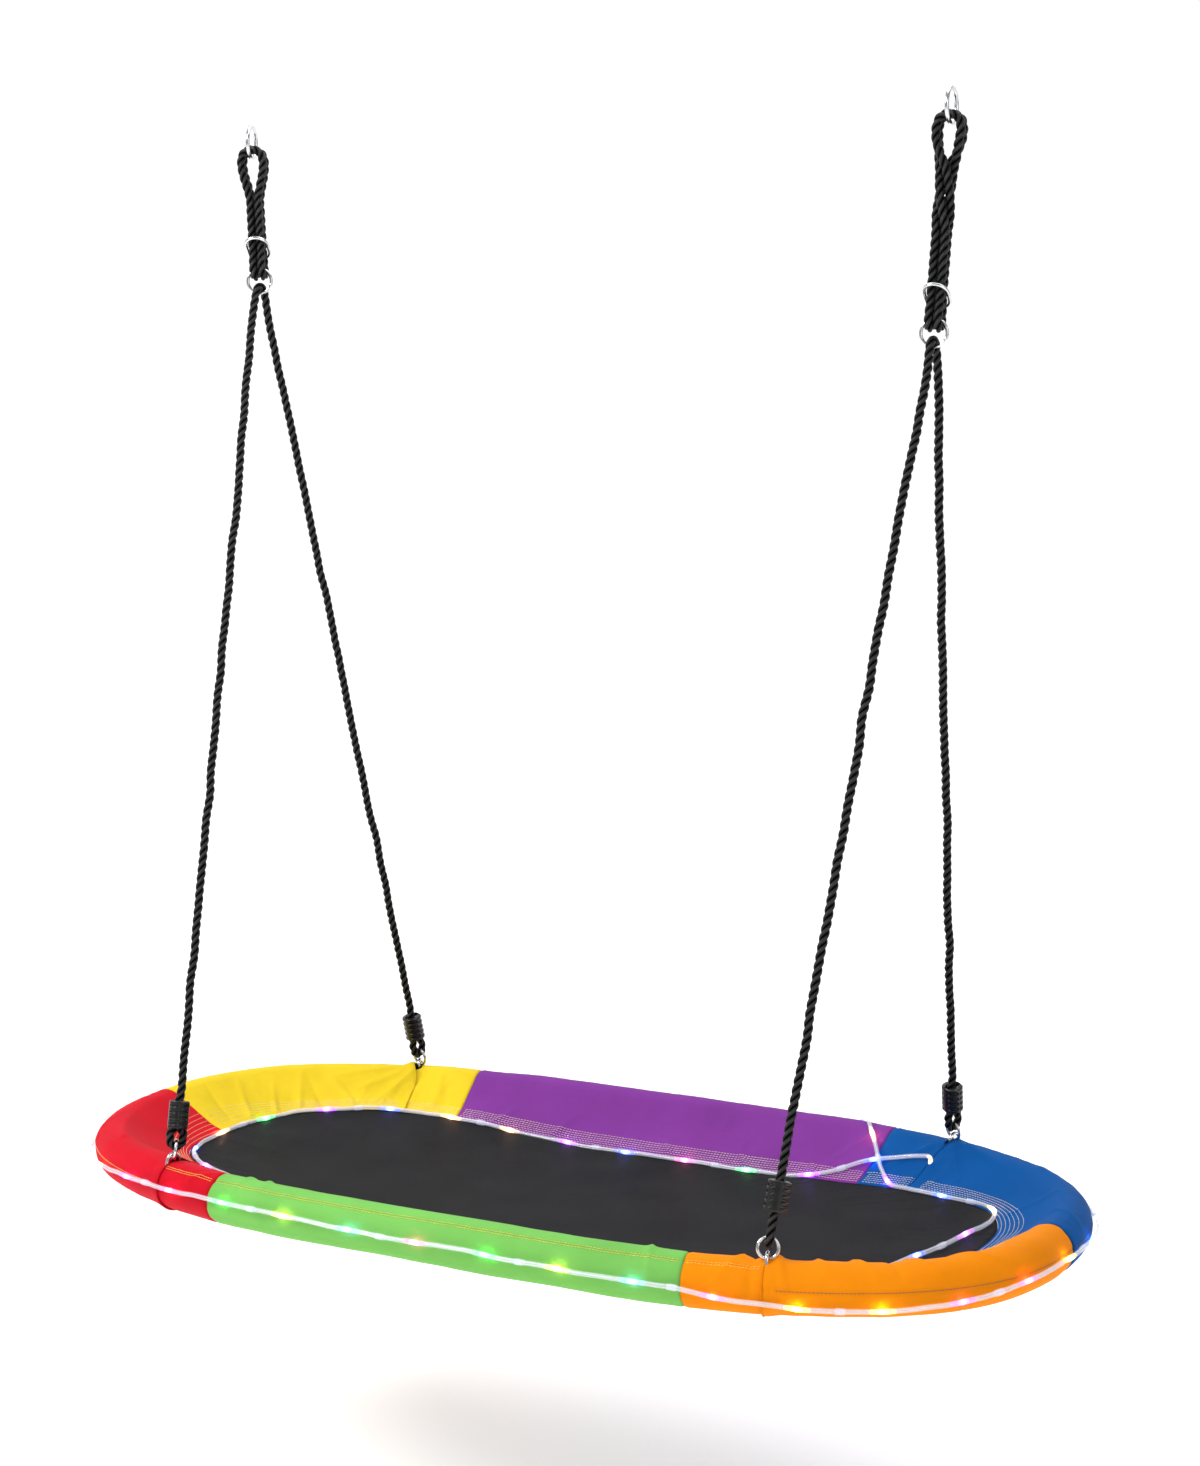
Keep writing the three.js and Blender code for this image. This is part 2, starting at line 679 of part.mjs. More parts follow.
// ---- lights ----
// The light string's route by hand: fraction of the oval, mm outside its centre line, height.
// It leaves the battery box under the far right corner, comes up through the cover's opening
// there, runs round the mat, crosses the purple band and runs round the outside of the rim.
const LIGHT_LEAD = [
  [0.12346, -121, -60],
  [0.12346, -94, -57],
  [0.12346, -76, -48],
  [0.12346, -64, -24],
  [0.12346, -55, 2],
  [0.1245, -49, 17],
  [0.13, -50, 16],
  [0.14, -58, 9],
  [0.153, -72, -1],
  [0.168, -96, -22],
  [0.182, -110, -32],
];
const LIGHT_INNER = [
  [0.2, -111, -34],
  [0.25, -112, -34.5],
  [0.29, -111, -34],
  [0.325, -111, -26],
  [0.352, -111, -16],
  [0.38, -110, -12],
  [0.405, -110, -12],
  [0.43, -110, -14],
  [0.455, -110, -17],
  [0.48, -110, -18],
  [0.5, -111, -18],
  [0.52, -113, -18],
  [0.535, -114, -17],
  [0.56, -112, -16],
  [0.585, -111, -15],
  [0.615, -111, -16],
  [0.645, -111, -22],
  [0.69, -111, -31],
  [0.75, -112, -34.5],
  [0.81, -111, -32],
  [0.85, -112, -26],
  [0.88, -121, -23],
  [0.91, -147, -24],
  [0.94, -166, -25],
  [0.97, -170, -24],
  [0.995, -160, -22],
  [1.02, -137, -18],
  [1.038, -115, -15],
  [1.052, -97, -12],
  [1.0625, -87, -9],
  [1.073, -88, -9],
  [1.088, -96, -11],
  [1.106, -105, -13],
  [1.122, -110, -16],
];
const LIGHT_CROSSING = [
  [1.134, -104, -18],
  [1.143, -84, -5],
  [1.152, -52, 18],
  [1.16, -20, 37],
  [1.166, 8, 41],
  [1.171, 31, 29],
  [1.18, 40, 8],
];
const LIGHT_OUTER = [
  [1.2, 42, 6],
  [1.25, 43, 2],
  [1.3, 42, 6],
  [1.34, 42, 4],
  [1.37, 42, 6],
  [1.395, 42, 3],
  [1.42, 42, 0],
  [1.44, 42, -4],
  [1.46, 42, -6],
  [1.48, 42, -6],
  [1.5, 42, -7],
  [1.52, 42, -8],
  [1.54, 42, -8],
  [1.56, 42, -6],
  [1.58, 42, -2],
  [1.605, 42, 4],
  [1.63, 42, 8],
  [1.66, 42, 9],
  [1.7, 42, 8],
  [1.75, 43, 7],
  [1.8, 42, 4],
  [1.84, 42, 1],
  [1.87, 41, -9],
  [1.895, 40, -14],
  [1.92, 40, -14],
  [1.94, 41, -9],
  [1.96, 42, -2],
  [1.98, 42, 3],
  [2, 42, 4],
  [2.02, 42, 2],
  [2.04, 42, -2],
  [2.06, 42, -5],
  [2.085, 42, -4],
  [2.11, 42, 0],
  [2.135, 42, 3],
  [2.16, 42, 3],
];

function lightString() {
  const route = [...LIGHT_LEAD, ...LIGHT_INNER, ...LIGHT_CROSSING, ...LIGHT_OUTER];
  const points = route.map(([u, out, z]) => rimPoint(u, out, z));
  place(seat, 'light_string', tube(points, LIGHT_R), clearTube());
}

function batteryBox() {
  const t = ovalTangent(EYE_U);
  const along = new THREE.Vector3(t.x, t.y, 0);
  const up = new THREE.Vector3(0, 0, 1);
  const across = new THREE.Vector3().crossVectors(up, along);
  const centre = rimPoint(EYE_U, BOX.out, BOX.z);
  const settle = (name, geometry, material) => {
    place(seat, name, orient(geometry, along, across, up, centre), material);
  };
  const block = (l, w, h, x, y, z) => {
    const geometry = new THREE.BoxGeometry(l, w, h);
    geometry.translate(x, y, z);
    return geometry;
  };
  const { length, width, height, lid } = BOX;
  const pocket = block(12.8, 7, 8.8, SWITCH_X, -width / 2, 0);
  const body = cut(block(length, width, height - lid, 0, 0, lid / 2), pocket);
  settle('battery_box', body, plastic());
  const lidThick = lid - 0.3;
  const cover = block(length, width, lidThick, 0, 0, (lidThick - height) / 2);
  settle('battery_lid', cover, plastic());
  settle('switch_button', block(12, 5, 8, SWITCH_X, -width / 2 - 1, 0), plastic());
  const wall = POUCH_WALL;
  const outside = block(
    length + 2 * wall + 1,
    width + wall + 1,
    height + wall + 0.5,
    0,
    wall / 2 + 0.5,
    -wall / 2,
  );
  const inside = block(length + 1, width + 20, height + 10, 0, -9.5, 5);
  settle('battery_pouch', cut(outside, inside), fabric(0x1c1c1e));
}

frameTubes();
splices();
foamSleeves();
covers();
mat();
for (const corner of CORNERS) {
  seatRing(corner);
  ropeEye(corner);
  ropeClamp(corner);
}
for (const side of SIDES) {
  hangRing(side);
  hangRope(side);
  adjusterRings(side);
  bridleRope(side);
}
lightString();
batteryBox();

export default swing;
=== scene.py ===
"""Looks of the platform swing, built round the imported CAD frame.

Shapes are worked out in millimetres with z = 0 on the seat frame's centre plane, as in the CAD
source, and `world` turns them into metres below the hang line.
"""

import math

import bpy
import numpy as np
from mathutils import Matrix

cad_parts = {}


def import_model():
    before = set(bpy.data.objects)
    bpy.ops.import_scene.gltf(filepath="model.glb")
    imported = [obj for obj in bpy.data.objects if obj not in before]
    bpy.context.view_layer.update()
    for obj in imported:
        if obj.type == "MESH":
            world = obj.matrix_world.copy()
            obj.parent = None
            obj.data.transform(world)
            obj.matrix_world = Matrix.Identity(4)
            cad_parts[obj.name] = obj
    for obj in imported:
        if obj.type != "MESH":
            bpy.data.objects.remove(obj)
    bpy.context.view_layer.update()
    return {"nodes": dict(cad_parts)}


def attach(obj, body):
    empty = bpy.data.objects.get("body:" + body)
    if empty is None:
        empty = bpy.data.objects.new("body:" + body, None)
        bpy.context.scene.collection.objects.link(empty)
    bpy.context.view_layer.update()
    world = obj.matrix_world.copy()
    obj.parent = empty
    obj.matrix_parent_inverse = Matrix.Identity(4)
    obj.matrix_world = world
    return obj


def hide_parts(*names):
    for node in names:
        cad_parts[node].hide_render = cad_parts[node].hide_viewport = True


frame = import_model()
NODES = frame["nodes"]

# ---- dimensions, as in the CAD source ----
HANG_HEIGHT = 1520.0
HANG_X = 554.0
OVAL_A = 727.5
OVAL_B = 366.0
OVAL_STRAIGHT = 129.0
OVAL_POWER = 2.5
TUBE_R = 14.0
TUBE_WALL = 1.5
FOAM_R = 30.8
COVER_R = 34.5
ROPE_R = 6.0
EYE_X = 466.0
EYE_U = 0.12346
SIDE_STEP = (0.5 - 2 * EYE_U) / 9
SEAM_U = EYE_U + SIDE_STEP
SPLICE_U = EYE_U + 2 * SIDE_STEP
RING_Z = 50.0
SEAT_RING = (13.5, 2.25)
HANG_RING = (23.0, 3.0)
CINCH_RING = (16.5, 2.5)
CINCH_STRETCH = 6.0
CINCH_TILT = 40.0
ADJUST_RING = (18.0, 2.5)
CINCH_RISE = 48.0
EYE_ROD_R = 2.75
EYE_BEND = 10.0
EYE_DROP = 5.5
STRAND = 6.3
BRIDLE_HALF = 10.5
TAIL = 24.0
CLAMP_HEIGHT = 40.0
CLAMP_R = 15.5
CLAMP_SLOT_HALF = 12.7
CLAMP_SLOT_R = 6.5
EYE_GAP = 8.0
SEAM_GAP = 0.5
LIGHT_R = 3.25
BOX_OUT, BOX_Z = -148.0, -58.0
TWIST_TOP, TWIST_BOTTOM = -46.0, -160.0

# x sign, y sign, azimuth of the seat ring's normal, rope loop under the clamp
CORNERS = {
    "near_left": (-1, -1, 40, 14),
    "far_left": (-1, 1, 73, 18),
    "near_right": (1, -1, 112, 31),
    "far_right": (1, 1, 64, 20),
}
# x sign, height of the bridle's pivot, yaw of the rings, twist of the four strands
SIDES = {"left": (-1, 1278.0, 20, 0), "right": (1, 1190.0, 5, 180)}
UP = np.array([0.0, 0.0, 1.0])


def world(points):
    return (np.asarray(points, float) - [0, 0, HANG_HEIGHT]) * 0.001


def turns(count):
    return np.arange(count) * 2 * math.pi / count


def unit(v):
    v = np.asarray(v, float)
    return v / np.linalg.norm(v, axis=-1, keepdims=True)


def square_to(axis, v):
    """Unit vector along the part of v that is at right angles to the axis."""
    return unit(v - axis * np.dot(v, axis))


def level_axis(degrees):
    return np.array([math.cos(math.radians(degrees)), math.sin(math.radians(degrees)), 0])


# ---- the oval ----
def quarter_oval():
    t = np.linspace(0, math.pi / 2, 401)
    power = 2 / OVAL_POWER
    x = OVAL_STRAIGHT + (OVAL_A - OVAL_STRAIGHT) * np.maximum(0, np.cos(t)) ** power
    y = OVAL_B * np.sin(t) ** power
    points = np.vstack([np.stack([x, y], 1), [[0, OVAL_B]]])
    run = np.r_[0, np.cumsum(np.linalg.norm(np.diff(points, axis=0), axis=1))]
    return points, run


QUARTER, RUN = quarter_oval()
OVAL_LENGTH = 4 * RUN[-1]


def oval_point(u):
    """Point of the centre line at fraction u of its length, anticlockwise from the +X tip."""
    turn = np.mod(u, 1.0)
    q = np.minimum(3, np.floor(turn * 4)).astype(int)
    rest = turn * 4 - q
    along = np.where(q % 2 == 1, 1 - rest, rest) * RUN[-1]
    sx = np.where((q == 1) | (q == 2), -1, 1)
    sy = np.where(q >= 2, -1, 1)
    x = np.interp(along, RUN, QUARTER[:, 0])
    y = np.interp(along, RUN, QUARTER[:, 1])
    return np.stack([sx * x, sy * y], -1)


def oval_tangent(u):
    return unit(oval_point(u + 0.002) - oval_point(u - 0.002))


def rim_point(u, out, z):
    """A point `out` mm outside the centre line and z above the frame's centre plane."""
    u, out, z = np.broadcast_arrays(np.asarray(u, float), out, z)
    p, t = oval_point(u), oval_tangent(u)
    return np.stack([p[..., 0] + t[..., 1] * out, p[..., 1] - t[..., 0] * out, z], -1)


def mm_to_u(length):
    return length / OVAL_LENGTH


# ---- meshes ----
def new_mesh(name, points, faces, material, uv=None):
    """Object from points in mm and a list or array of faces, smooth shaded."""
    data = bpy.data.meshes.new(name)
    data.from_pydata(world(points).tolist(), [], [list(map(int, f)) for f in faces])
    data.polygons.foreach_set("use_smooth", [True] * len(data.polygons))
    if uv is not None:
        layer = data.uv_layers.new(name="UVMap")
        index = np.zeros(len(data.loops), int)
        data.loops.foreach_get("vertex_index", index)
        layer.data.foreach_set("uv", np.asarray(uv, float)[index].astype(np.float32).ravel())
    data.update()
    data.materials.append(material)
    obj = bpy.data.objects.new(name, data)
    bpy.context.scene.collection.objects.link(obj)
    return obj


def grid_faces(rows, columns, wrap_rows=False, wrap_columns=False, start=0, flip=False):
    """Quads of a grid whose points are stored row by row."""
    i = np.arange(rows if wrap_rows else rows - 1)
    j = np.arange(columns if wrap_columns else columns - 1)
    a, b = np.meshgrid(i, j, indexing="ij")
    a2, b2 = (a + 1) % rows, (b + 1) % columns
    quads = np.stack([a * columns + b, a * columns + b2, a2 * columns + b2, a2 * columns + b], -1)
    quads = quads.reshape(-1, 4) + start
    return quads[:, ::-1] if flip else quads


def frames_along(path):
    """Tangents and two turning-free normals along a path."""
    path = np.asarray(path, float)
    tangent = unit(np.gradient(path, axis=0))
    normals = [unit(np.cross(tangent[0], [0.31, 0.87, 0.38]))]
    for t in tangent[1:]:
        normals.append(square_to(t, normals[-1]))
    n1 = np.array(normals)
    return tangent, n1, np.cross(tangent, n1)


def run_of(path):
    return np.r_[0, np.cumsum(np.linalg.norm(np.diff(path, axis=0), axis=1))]


def resample(path, step):
    """The same path with points `step` mm apart."""
    run = run_of(path)
    count = max(2, int(round(run[-1] / step)) + 1)
    at = np.linspace(0, run[-1], count)
    return np.stack([np.interp(at, run, path[:, k]) for k in range(3)], 1)


def spline(points, per_span=12):
    """Centripetal Catmull-Rom curve through the points."""
    p = np.asarray(points, float)
    p = np.vstack([2 * p[0] - p[1], p, 2 * p[-1] - p[-2]])
    out = []
    for k in range(1, len(p) - 2):
        rows = p[k - 1:k + 3]
        knots = np.r_[0, np.cumsum(np.linalg.norm(np.diff(rows, axis=0), axis=1) ** 0.5)]
        t = np.linspace(knots[1], knots[2], per_span, endpoint=False)[:, None]
        for spans in (((0, 1), (1, 2), (2, 3)), ((0, 2), (1, 3)), ((1, 2),)):
            mixes = [(t - knots[low]) / (knots[high] - knots[low]) for low, high in spans]
            rows = [(1 - m) * rows[i] + m * rows[i + 1] for i, m in enumerate(mixes)]
        out.append(rows[0])
    out.append(p[-2][None])
    return np.vstack(out)


def tube_points(path, radius, sides, turn=None, lobes=None):
    """Rings round a path. `turn` is each ring's angle, `lobes` a radius factor for each side."""
    _, n1, n2 = frames_along(path)
    phi = turns(sides)[None, :] + (0 if turn is None else np.asarray(turn)[:, None])
    factor = np.ones(sides) if lobes is None else lobes
    r = np.broadcast_to(np.asarray(radius, float).reshape(-1, 1), (len(path), 1)) * factor[None, :]
    return (path[:, None, :] + (r * np.cos(phi))[..., None] * n1[:, None, :]
            + (r * np.sin(phi))[..., None] * n2[:, None, :])


def fan(centre, start, count, flip=False):
    """Triangles from one point to a ring of `count` points that starts at `start`."""
    step = -1 if flip else 1
    return [[centre, *[start + k, start + (k + 1) % count][::step]] for k in range(count)]


def closed_tube(path, radius, sides, turn=None, lobes=None):
    """Points, faces and UVs of a tube whose ends are capped."""
    path = np.asarray(path, float)
    rings = tube_points(path, radius, sides, turn, lobes)
    rows = len(path)
    points = np.vstack([rings.reshape(-1, 3), path[:1], path[-1:]])
    faces = [list(f) for f in grid_faces(rows, sides, wrap_columns=True, flip=True)]
    first, last = rows * sides, rows * sides + 1
    faces += fan(first, 0, sides, flip=True) + fan(last, (rows - 1) * sides, sides)
    run = run_of(path)
    v = np.repeat(run * 0.001, sides)
    u = np.tile(np.abs(np.arange(sides) / sides * 2 - 1), rows)
    uv = np.vstack([np.stack([u, v], 1), [[0, 0], [0, run[-1] * 0.001]]])
    return points, faces, uv


def merge(parts):
    """Join (points, faces) pairs into one."""
    points, faces, start = [], [], 0
    for p, f in parts:
        points.append(p)
        faces.extend([[int(k) + start for k in face] for face in f])
        start += len(p)
    return np.vstack(points), faces


# ---- smooth random fields, the same at each run ----
class Field:
    """Value noise on a seeded lattice."""

    def __init__(self, seed, size=256):
        self.size = size
        self.values = np.random.default_rng(seed).uniform(-1, 1, (size, size))

    def __call__(self, x, y):
        x, y = np.broadcast_arrays(np.asarray(x, float), np.asarray(y, float))
        i, j = np.floor(x).astype(int), np.floor(y).astype(int)
        fx, fy = x - i, y - j
        fx, fy = fx * fx * (3 - 2 * fx), fy * fy * (3 - 2 * fy)
        n = self.size
        v = self.values
        low = v[i % n, j % n] * (1 - fx) + v[(i + 1) % n, j % n] * fx
        high = v[i % n, (j + 1) % n] * (1 - fx) + v[(i + 1) % n, (j + 1) % n] * fx
        return low * (1 - fy) + high * fy


def bell(x, width):
    return np.exp(-(x / width) ** 2)


def wrapped(u, centre):
    """Signed distance along the oval from `centre`, in mm."""
    return (np.mod(u - centre + 0.5, 1.0) - 0.5) * OVAL_LENGTH


# ---- the cover's surface ----
# Height of the mat's edge round the oval: fraction of the oval, mm.
MAT_EDGE = [
    (0.0, -21), (0.03, -18), (0.0625, -14), (0.09, -15), (0.123, -20), (0.16, -31), (0.2, -37), (0.25, -38.5),
    (0.29, -37), (0.33, -27), (0.36, -18), (0.39, -15), (0.43, -17), (0.465, -20), (0.5, -21), (0.535, -20),
    (0.57, -18), (0.615, -19), (0.65, -26), (0.69, -34), (0.75, -38.5), (0.81, -36), (0.85, -29),
    (0.89, -24), (0.93, -23), (0.965, -23), (1.0, -21),
]
# How far in from the tube the mat's edge lies: fraction of the oval, mm.
MAT_REACH = [
    (0.0, 103), (0.03, 96), (0.055, 90.5), (0.07, 90.5), (0.09, 97), (0.11, 104), (0.13, 106), (0.87, 106),
    (0.95, 107), (0.985, 106), (1.0, 103),
]
EYES = [EYE_U, 0.5 - EYE_U, 0.5 + EYE_U, 1 - EYE_U]
SEAMS = [0.0, SEAM_U, 0.5 - SEAM_U, 0.5, 0.5 + SEAM_U, 1 - SEAM_U]
# Where the cloth wrinkles most: fraction of the oval, half width in mm, gain.
LIVELY = [(eye, 55, 0.9) for eye in EYES]
LIVELY += [(0.5 - EYE_U + 0.03, 190, 0.9), (1 - EYE_U + 0.03, 150, 0.8)]
# Direction of the slit that the seat ring comes out of, degrees up from outwards.
EYE_PHI = 103.0
# Seams along the rim, degrees up from outwards.
LOW_SEAM, HIGH_SEAM, SEAM_ROWS = 10.0, 58.0, (55, 61)
# Length round the whole section, about, mm.
SECTION_LENGTH = 340.0
SKIN = 1.2
broad_field, fold_field, crease_field, pucker_field = Field(3), Field(11), Field(23), Field(41)


def round_oval(u, table):
    """A (fraction, value) table read at fraction u of the oval."""
    return np.interp(np.mod(u, 1.0), *np.array(table, float).T)


def mat_edge_z(u):
    return round_oval(u, MAT_EDGE)


def mat_reach(u):
    return round_oval(u, MAT_REACH)


def section_sizes(u):
    """Radians where the top tangent leaves the tube, flat length and arc length, mm."""
    depth, reach = -mat_edge_z(u), mat_reach(u)
    distance = np.hypot(reach, depth)
    opening = np.arccos(COVER_R / distance)
    flat = np.sqrt(distance ** 2 - COVER_R ** 2)
    arc = COVER_R * (2 * math.pi - 2 * opening)
    return math.pi + np.arctan2(depth, reach) - opening, flat, arc


def section(u, q):
    """Base place and normal, in (out, z), q of the way (0..1) from the mat's edge over the top
    of the rim, round its outside and back below. Also the angle round the tube, in degrees."""
    top, flat, arc = section_sizes(u)
    way = q * (2 * flat + arc)
    angle = np.clip(top - (way - flat) / COVER_R, top - arc / COVER_R, top)
    co, si = np.cos(angle), np.sin(angle)
    over = np.maximum(0, flat - way)
    under = np.maximum(0, way - flat - arc)
    out = COVER_R * co - over * np.sin(top) + under * np.sin(angle)
    z = COVER_R * si + over * np.cos(top) - under * np.cos(angle)
    return out, z, co, si, np.degrees(angle), way, flat


# Single folds in the cloth: from (fraction, mm up the band from the mat's edge) to the same, then
# half width and height in mm.
FOLD_GAIN = 1.6
FOLDS = [
    (0.3775, 96, 0.392, 22, 7, 4.0), (0.3735, 88, 0.381, 18, 6, -2.6), (0.3790, 104, 0.404, 52, 8, 3.2),
    (0.3790, 110, 0.412, 88, 7, 2.6), (0.3640, 92, 0.3625, 20, 6, 2.2), (0.3600, 70, 0.3560, 12, 5, -1.8),
    (0.404, 12, 0.418, 92, 8, 2.8), (0.421, 8, 0.428, 84, 7, -2.2), (0.436, 10, 0.430, 98, 8, 2.6),
    (0.452, 14, 0.446, 76, 6, 2.0), (0.473, 10, 0.463, 90, 8, 2.4), (0.487, 20, 0.481, 104, 6, -1.6),
    (0.628, 96, 0.612, 40, 7, 2.8), (0.630, 86, 0.640, 30, 6, 2.4), (0.617, 108, 0.595, 92, 8, 2.2),
    (0.580, 120, 0.545, 104, 8, 1.8), (0.560, 160, 0.540, 120, 7, 1.6), (0.600, 16, 0.590, 76, 6, 1.8),
    (0.531, 12, 0.526, 90, 7, 1.6), (0.640, 150, 0.652, 120, 5, 1.6), (0.648, 14, 0.642, 70, 6, 1.8),
    (0.905, 96, 0.914, 150, 5, 2.6), (0.918, 92, 0.921, 152, 4, -2.4), (0.925, 98, 0.935, 150, 5, 2.6),
    (0.893, 100, 0.897, 146, 5, 2.0), (0.942, 90, 0.957, 142, 6, 2.2), (0.968, 96, 0.975, 150, 6, -1.6),
    (0.880, 110, 0.884, 190, 5, 2.2), (0.868, 112, 0.860, 170, 5, 2.0), (0.872, 96, 0.871, 205, 4, -2.0),
    (0.130, 92, 0.146, 30, 7, 2.6), (0.119, 96, 0.104, 40, 7, 2.4), (0.115, 112, 0.090, 84, 8, 2.2),
    (0.050, 20, 0.046, 96, 8, 1.8), (0.020, 96, 0.012, 150, 6, 1.6), (0.075, 110, 0.050, 104, 8, 1.8),
    (0.208, 8, 0.214, 44, 6, 2.6), (0.243, 6, 0.247, 34, 5, 2.0), (0.300, 8, 0.292, 60, 7, 1.8),
    (0.175, 8, 0.181, 52, 6, 2.2), (0.330, 10, 0.322, 48, 6, 1.8), (0.160, 96, 0.172, 30, 8, 1.6),
    (0.664, 112, 0.662, 190, 5, 1.8), (0.672, 108, 0.676, 170, 5, 1.6), (0.834, 112, 0.838, 184, 5, 1.8),
]


def folds(s, way):
    total = np.zeros_like(s)
    for ua, wa, ub, wb, width, size in FOLDS:
        ax, bx = ua * OVAL_LENGTH, ub * OVAL_LENGTH
        dx, dy = bx - ax, wb - wa
        t = np.clip(((s - ax) * dx + (way - wa) * dy) / (dx * dx + dy * dy), 0, 1)
        off = np.hypot(s - ax - t * dx, way - wa - t * dy)
        total = total + FOLD_GAIN * size * (1.15 - 0.75 * t) / (1 + (off / width) ** 2) ** 1.6
    return total


def relief(u, angle, way, flat):
    """How far the cloth stands proud of its plain shape, in mm: broad waves, slanting folds, fine
    creases, the single folds, gathered seams, and the sag between rim and mat."""
    s = np.mod(u, 1.0) * OVAL_LENGTH
    on_band = np.clip(1 - way / flat, 0, 1)
    lively = 0.5 + sum(gain * bell(wrapped(u, at), width) for at, width, gain in LIVELY)
    height = broad_field(s / 90, way / 70) + 0.45 * broad_field(s / 34 + 50, way / 40)
    slant = s + 0.35 * way
    fold = 1 - np.abs(fold_field(slant / 46, way / 170))
    height = height + lively * 1.3 * (fold ** 4 - 0.35) * (0.25 + 0.75 * np.sin(math.pi * on_band) ** 0.7)
    crease = 1 - np.abs(crease_field(slant / 22 + 7, way / 90 + 3))
    height = height + lively * 0.5 * (crease ** 6 - 0.2) * (0.3 + on_band)
    height = height + folds(s, way)
    orange_end = np.abs(wrapped(u, 1 - EYE_U / 2)) < EYE_U / 2 * OVAL_LENGTH
    line = np.where(orange_end, LOW_SEAM, HIGH_SEAM)
    off = np.radians(angle - line) * COVER_R
    height = height - 0.9 * bell(off, 2.2) + 0.7 * pucker_field(s / 8, angle / 40) * bell(off, 9)
    for seam in SEAMS:
        d = wrapped(u, seam)
        height = height - 1.5 * bell(d, 2.6) + 0.8 * pucker_field(way / 11, d / 30 + 9) * bell(d, 13)
    sag = -2.5 * np.sin(math.pi * on_band) * (way < flat)
    edge = np.clip(np.minimum(way, 2 * flat + 130 - way) / 14, 0, 1)
    return (height + sag) * edge


def cover_place(u, q, lift=0.0):
    out, z, co, si, angle, way, flat = section(u, q)
    d = relief(u, angle, way, flat) + lift
    return rim_point(u, out + co * d, z + si * d)


def cover_normal(u, q, lift=0.0):
    e = 1.5e-4
    du = cover_place(u + e, q, lift) - cover_place(u - e, q, lift)
    ahead, behind = (cover_place(u, np.clip(q + step, 0, 1), lift) for step in (0.003, -0.003))
    return unit(np.cross(ahead - behind, du))


def q_of_angle(u, degrees):
    """The place round the section where the tube's surface faces `degrees` up from outwards."""
    top, flat, arc = section_sizes(u)
    return (flat + (top - np.radians(degrees)) * COVER_R) / (2 * flat + arc)


# ---- node materials ----
def principled(name, colour, roughness, metallic=0.0):
    material = bpy.data.materials.new(name)
    material.use_nodes = True
    shader = material.node_tree.nodes["Principled BSDF"]
    shader.inputs["Base Color"].default_value = (*colour, 1)
    shader.inputs["Roughness"].default_value = roughness
    shader.inputs["Metallic"].default_value = metallic
    return material, material.node_tree, shader


def node(tree, kind, **values):
    made = tree.nodes.new(kind)
    for key, value in values.items():
        if key in made.inputs:
            made.inputs[key].default_value = value
        else:
            setattr(made, key, value)
    return made


def maths(tree, operation, a, b=None):
    made = node(tree, "ShaderNodeMath", operation=operation)
    for socket, value in zip(made.inputs, (a, b)):
        if value is None:
            continue
        if hasattr(value, "is_output"):
            tree.links.new(value, socket)
        else:
            socket.default_value = value
    return made.outputs[0]


def scaled(tree, value, factor, offset=0.0):
    return maths(tree, "ADD", maths(tree, "MULTIPLY", value, factor), offset)


def blend_of(tree, *parts):
    """Sum of (value, factor) pairs."""
    scaled_parts = [maths(tree, "MULTIPLY", value, factor) for value, factor in parts]
    return maths(tree, "ADD", *scaled_parts)


def coordinates(tree, kind="Object", scale=(1, 1, 1)):
    source = node(tree, "ShaderNodeTexCoord")
    mapping = node(tree, "ShaderNodeMapping")
    mapping.inputs["Scale"].default_value = scale
    tree.links.new(source.outputs[kind], mapping.inputs["Vector"])
    return mapping.outputs["Vector"]


def noise(tree, vector, scale, detail=4.0, roughness=0.55):
    made = node(tree, "ShaderNodeTexNoise", Scale=scale, Detail=detail, Roughness=roughness)
    tree.links.new(vector, made.inputs["Vector"])
    return made.outputs["Fac"]


def ramp(tree, factor, stops):
    """Map 0..1 to colours: stops are (place, colour)."""
    made = node(tree, "ShaderNodeValToRGB")
    elements = made.color_ramp.elements
    while len(elements) < len(stops):
        elements.new(0.5)
    for element, (place, colour) in zip(elements, stops):
        element.position = place
        element.color = (*colour, 1)
    tree.links.new(factor, made.inputs["Fac"])
    return made.outputs["Color"]


def tint(tree, shader, factor, *stops, socket="Base Color"):
    tree.links.new(ramp(tree, factor, stops), shader.inputs[socket])


def bump(tree, shader, height, distance, strength=1.0):
    made = node(tree, "ShaderNodeBump", Distance=distance, Strength=strength)
    tree.links.new(height, made.inputs["Height"])
    tree.links.new(made.outputs["Normal"], shader.inputs["Normal"])


def weave(tree, vector, per_metre):
    """Height of a plain weave: threads both ways, each over and under its neighbours."""
    split = node(tree, "ShaderNodeSeparateXYZ")
    tree.links.new(vector, split.inputs[0])
    x = maths(tree, "MULTIPLY", split.outputs[0], per_metre * math.pi)
    y = maths(tree, "MULTIPLY", split.outputs[1], per_metre * math.pi)
    sx, sy = maths(tree, "SINE", x), maths(tree, "SINE", y)
    cx, cy = maths(tree, "COSINE", x), maths(tree, "COSINE", y)
    warp = maths(tree, "MULTIPLY", maths(tree, "ABSOLUTE", sx), maths(tree, "ABSOLUTE", cy))
    weft = maths(tree, "MULTIPLY", maths(tree, "ABSOLUTE", sy), maths(tree, "ABSOLUTE", cx))
    return maths(tree, "MAXIMUM", warp, weft)


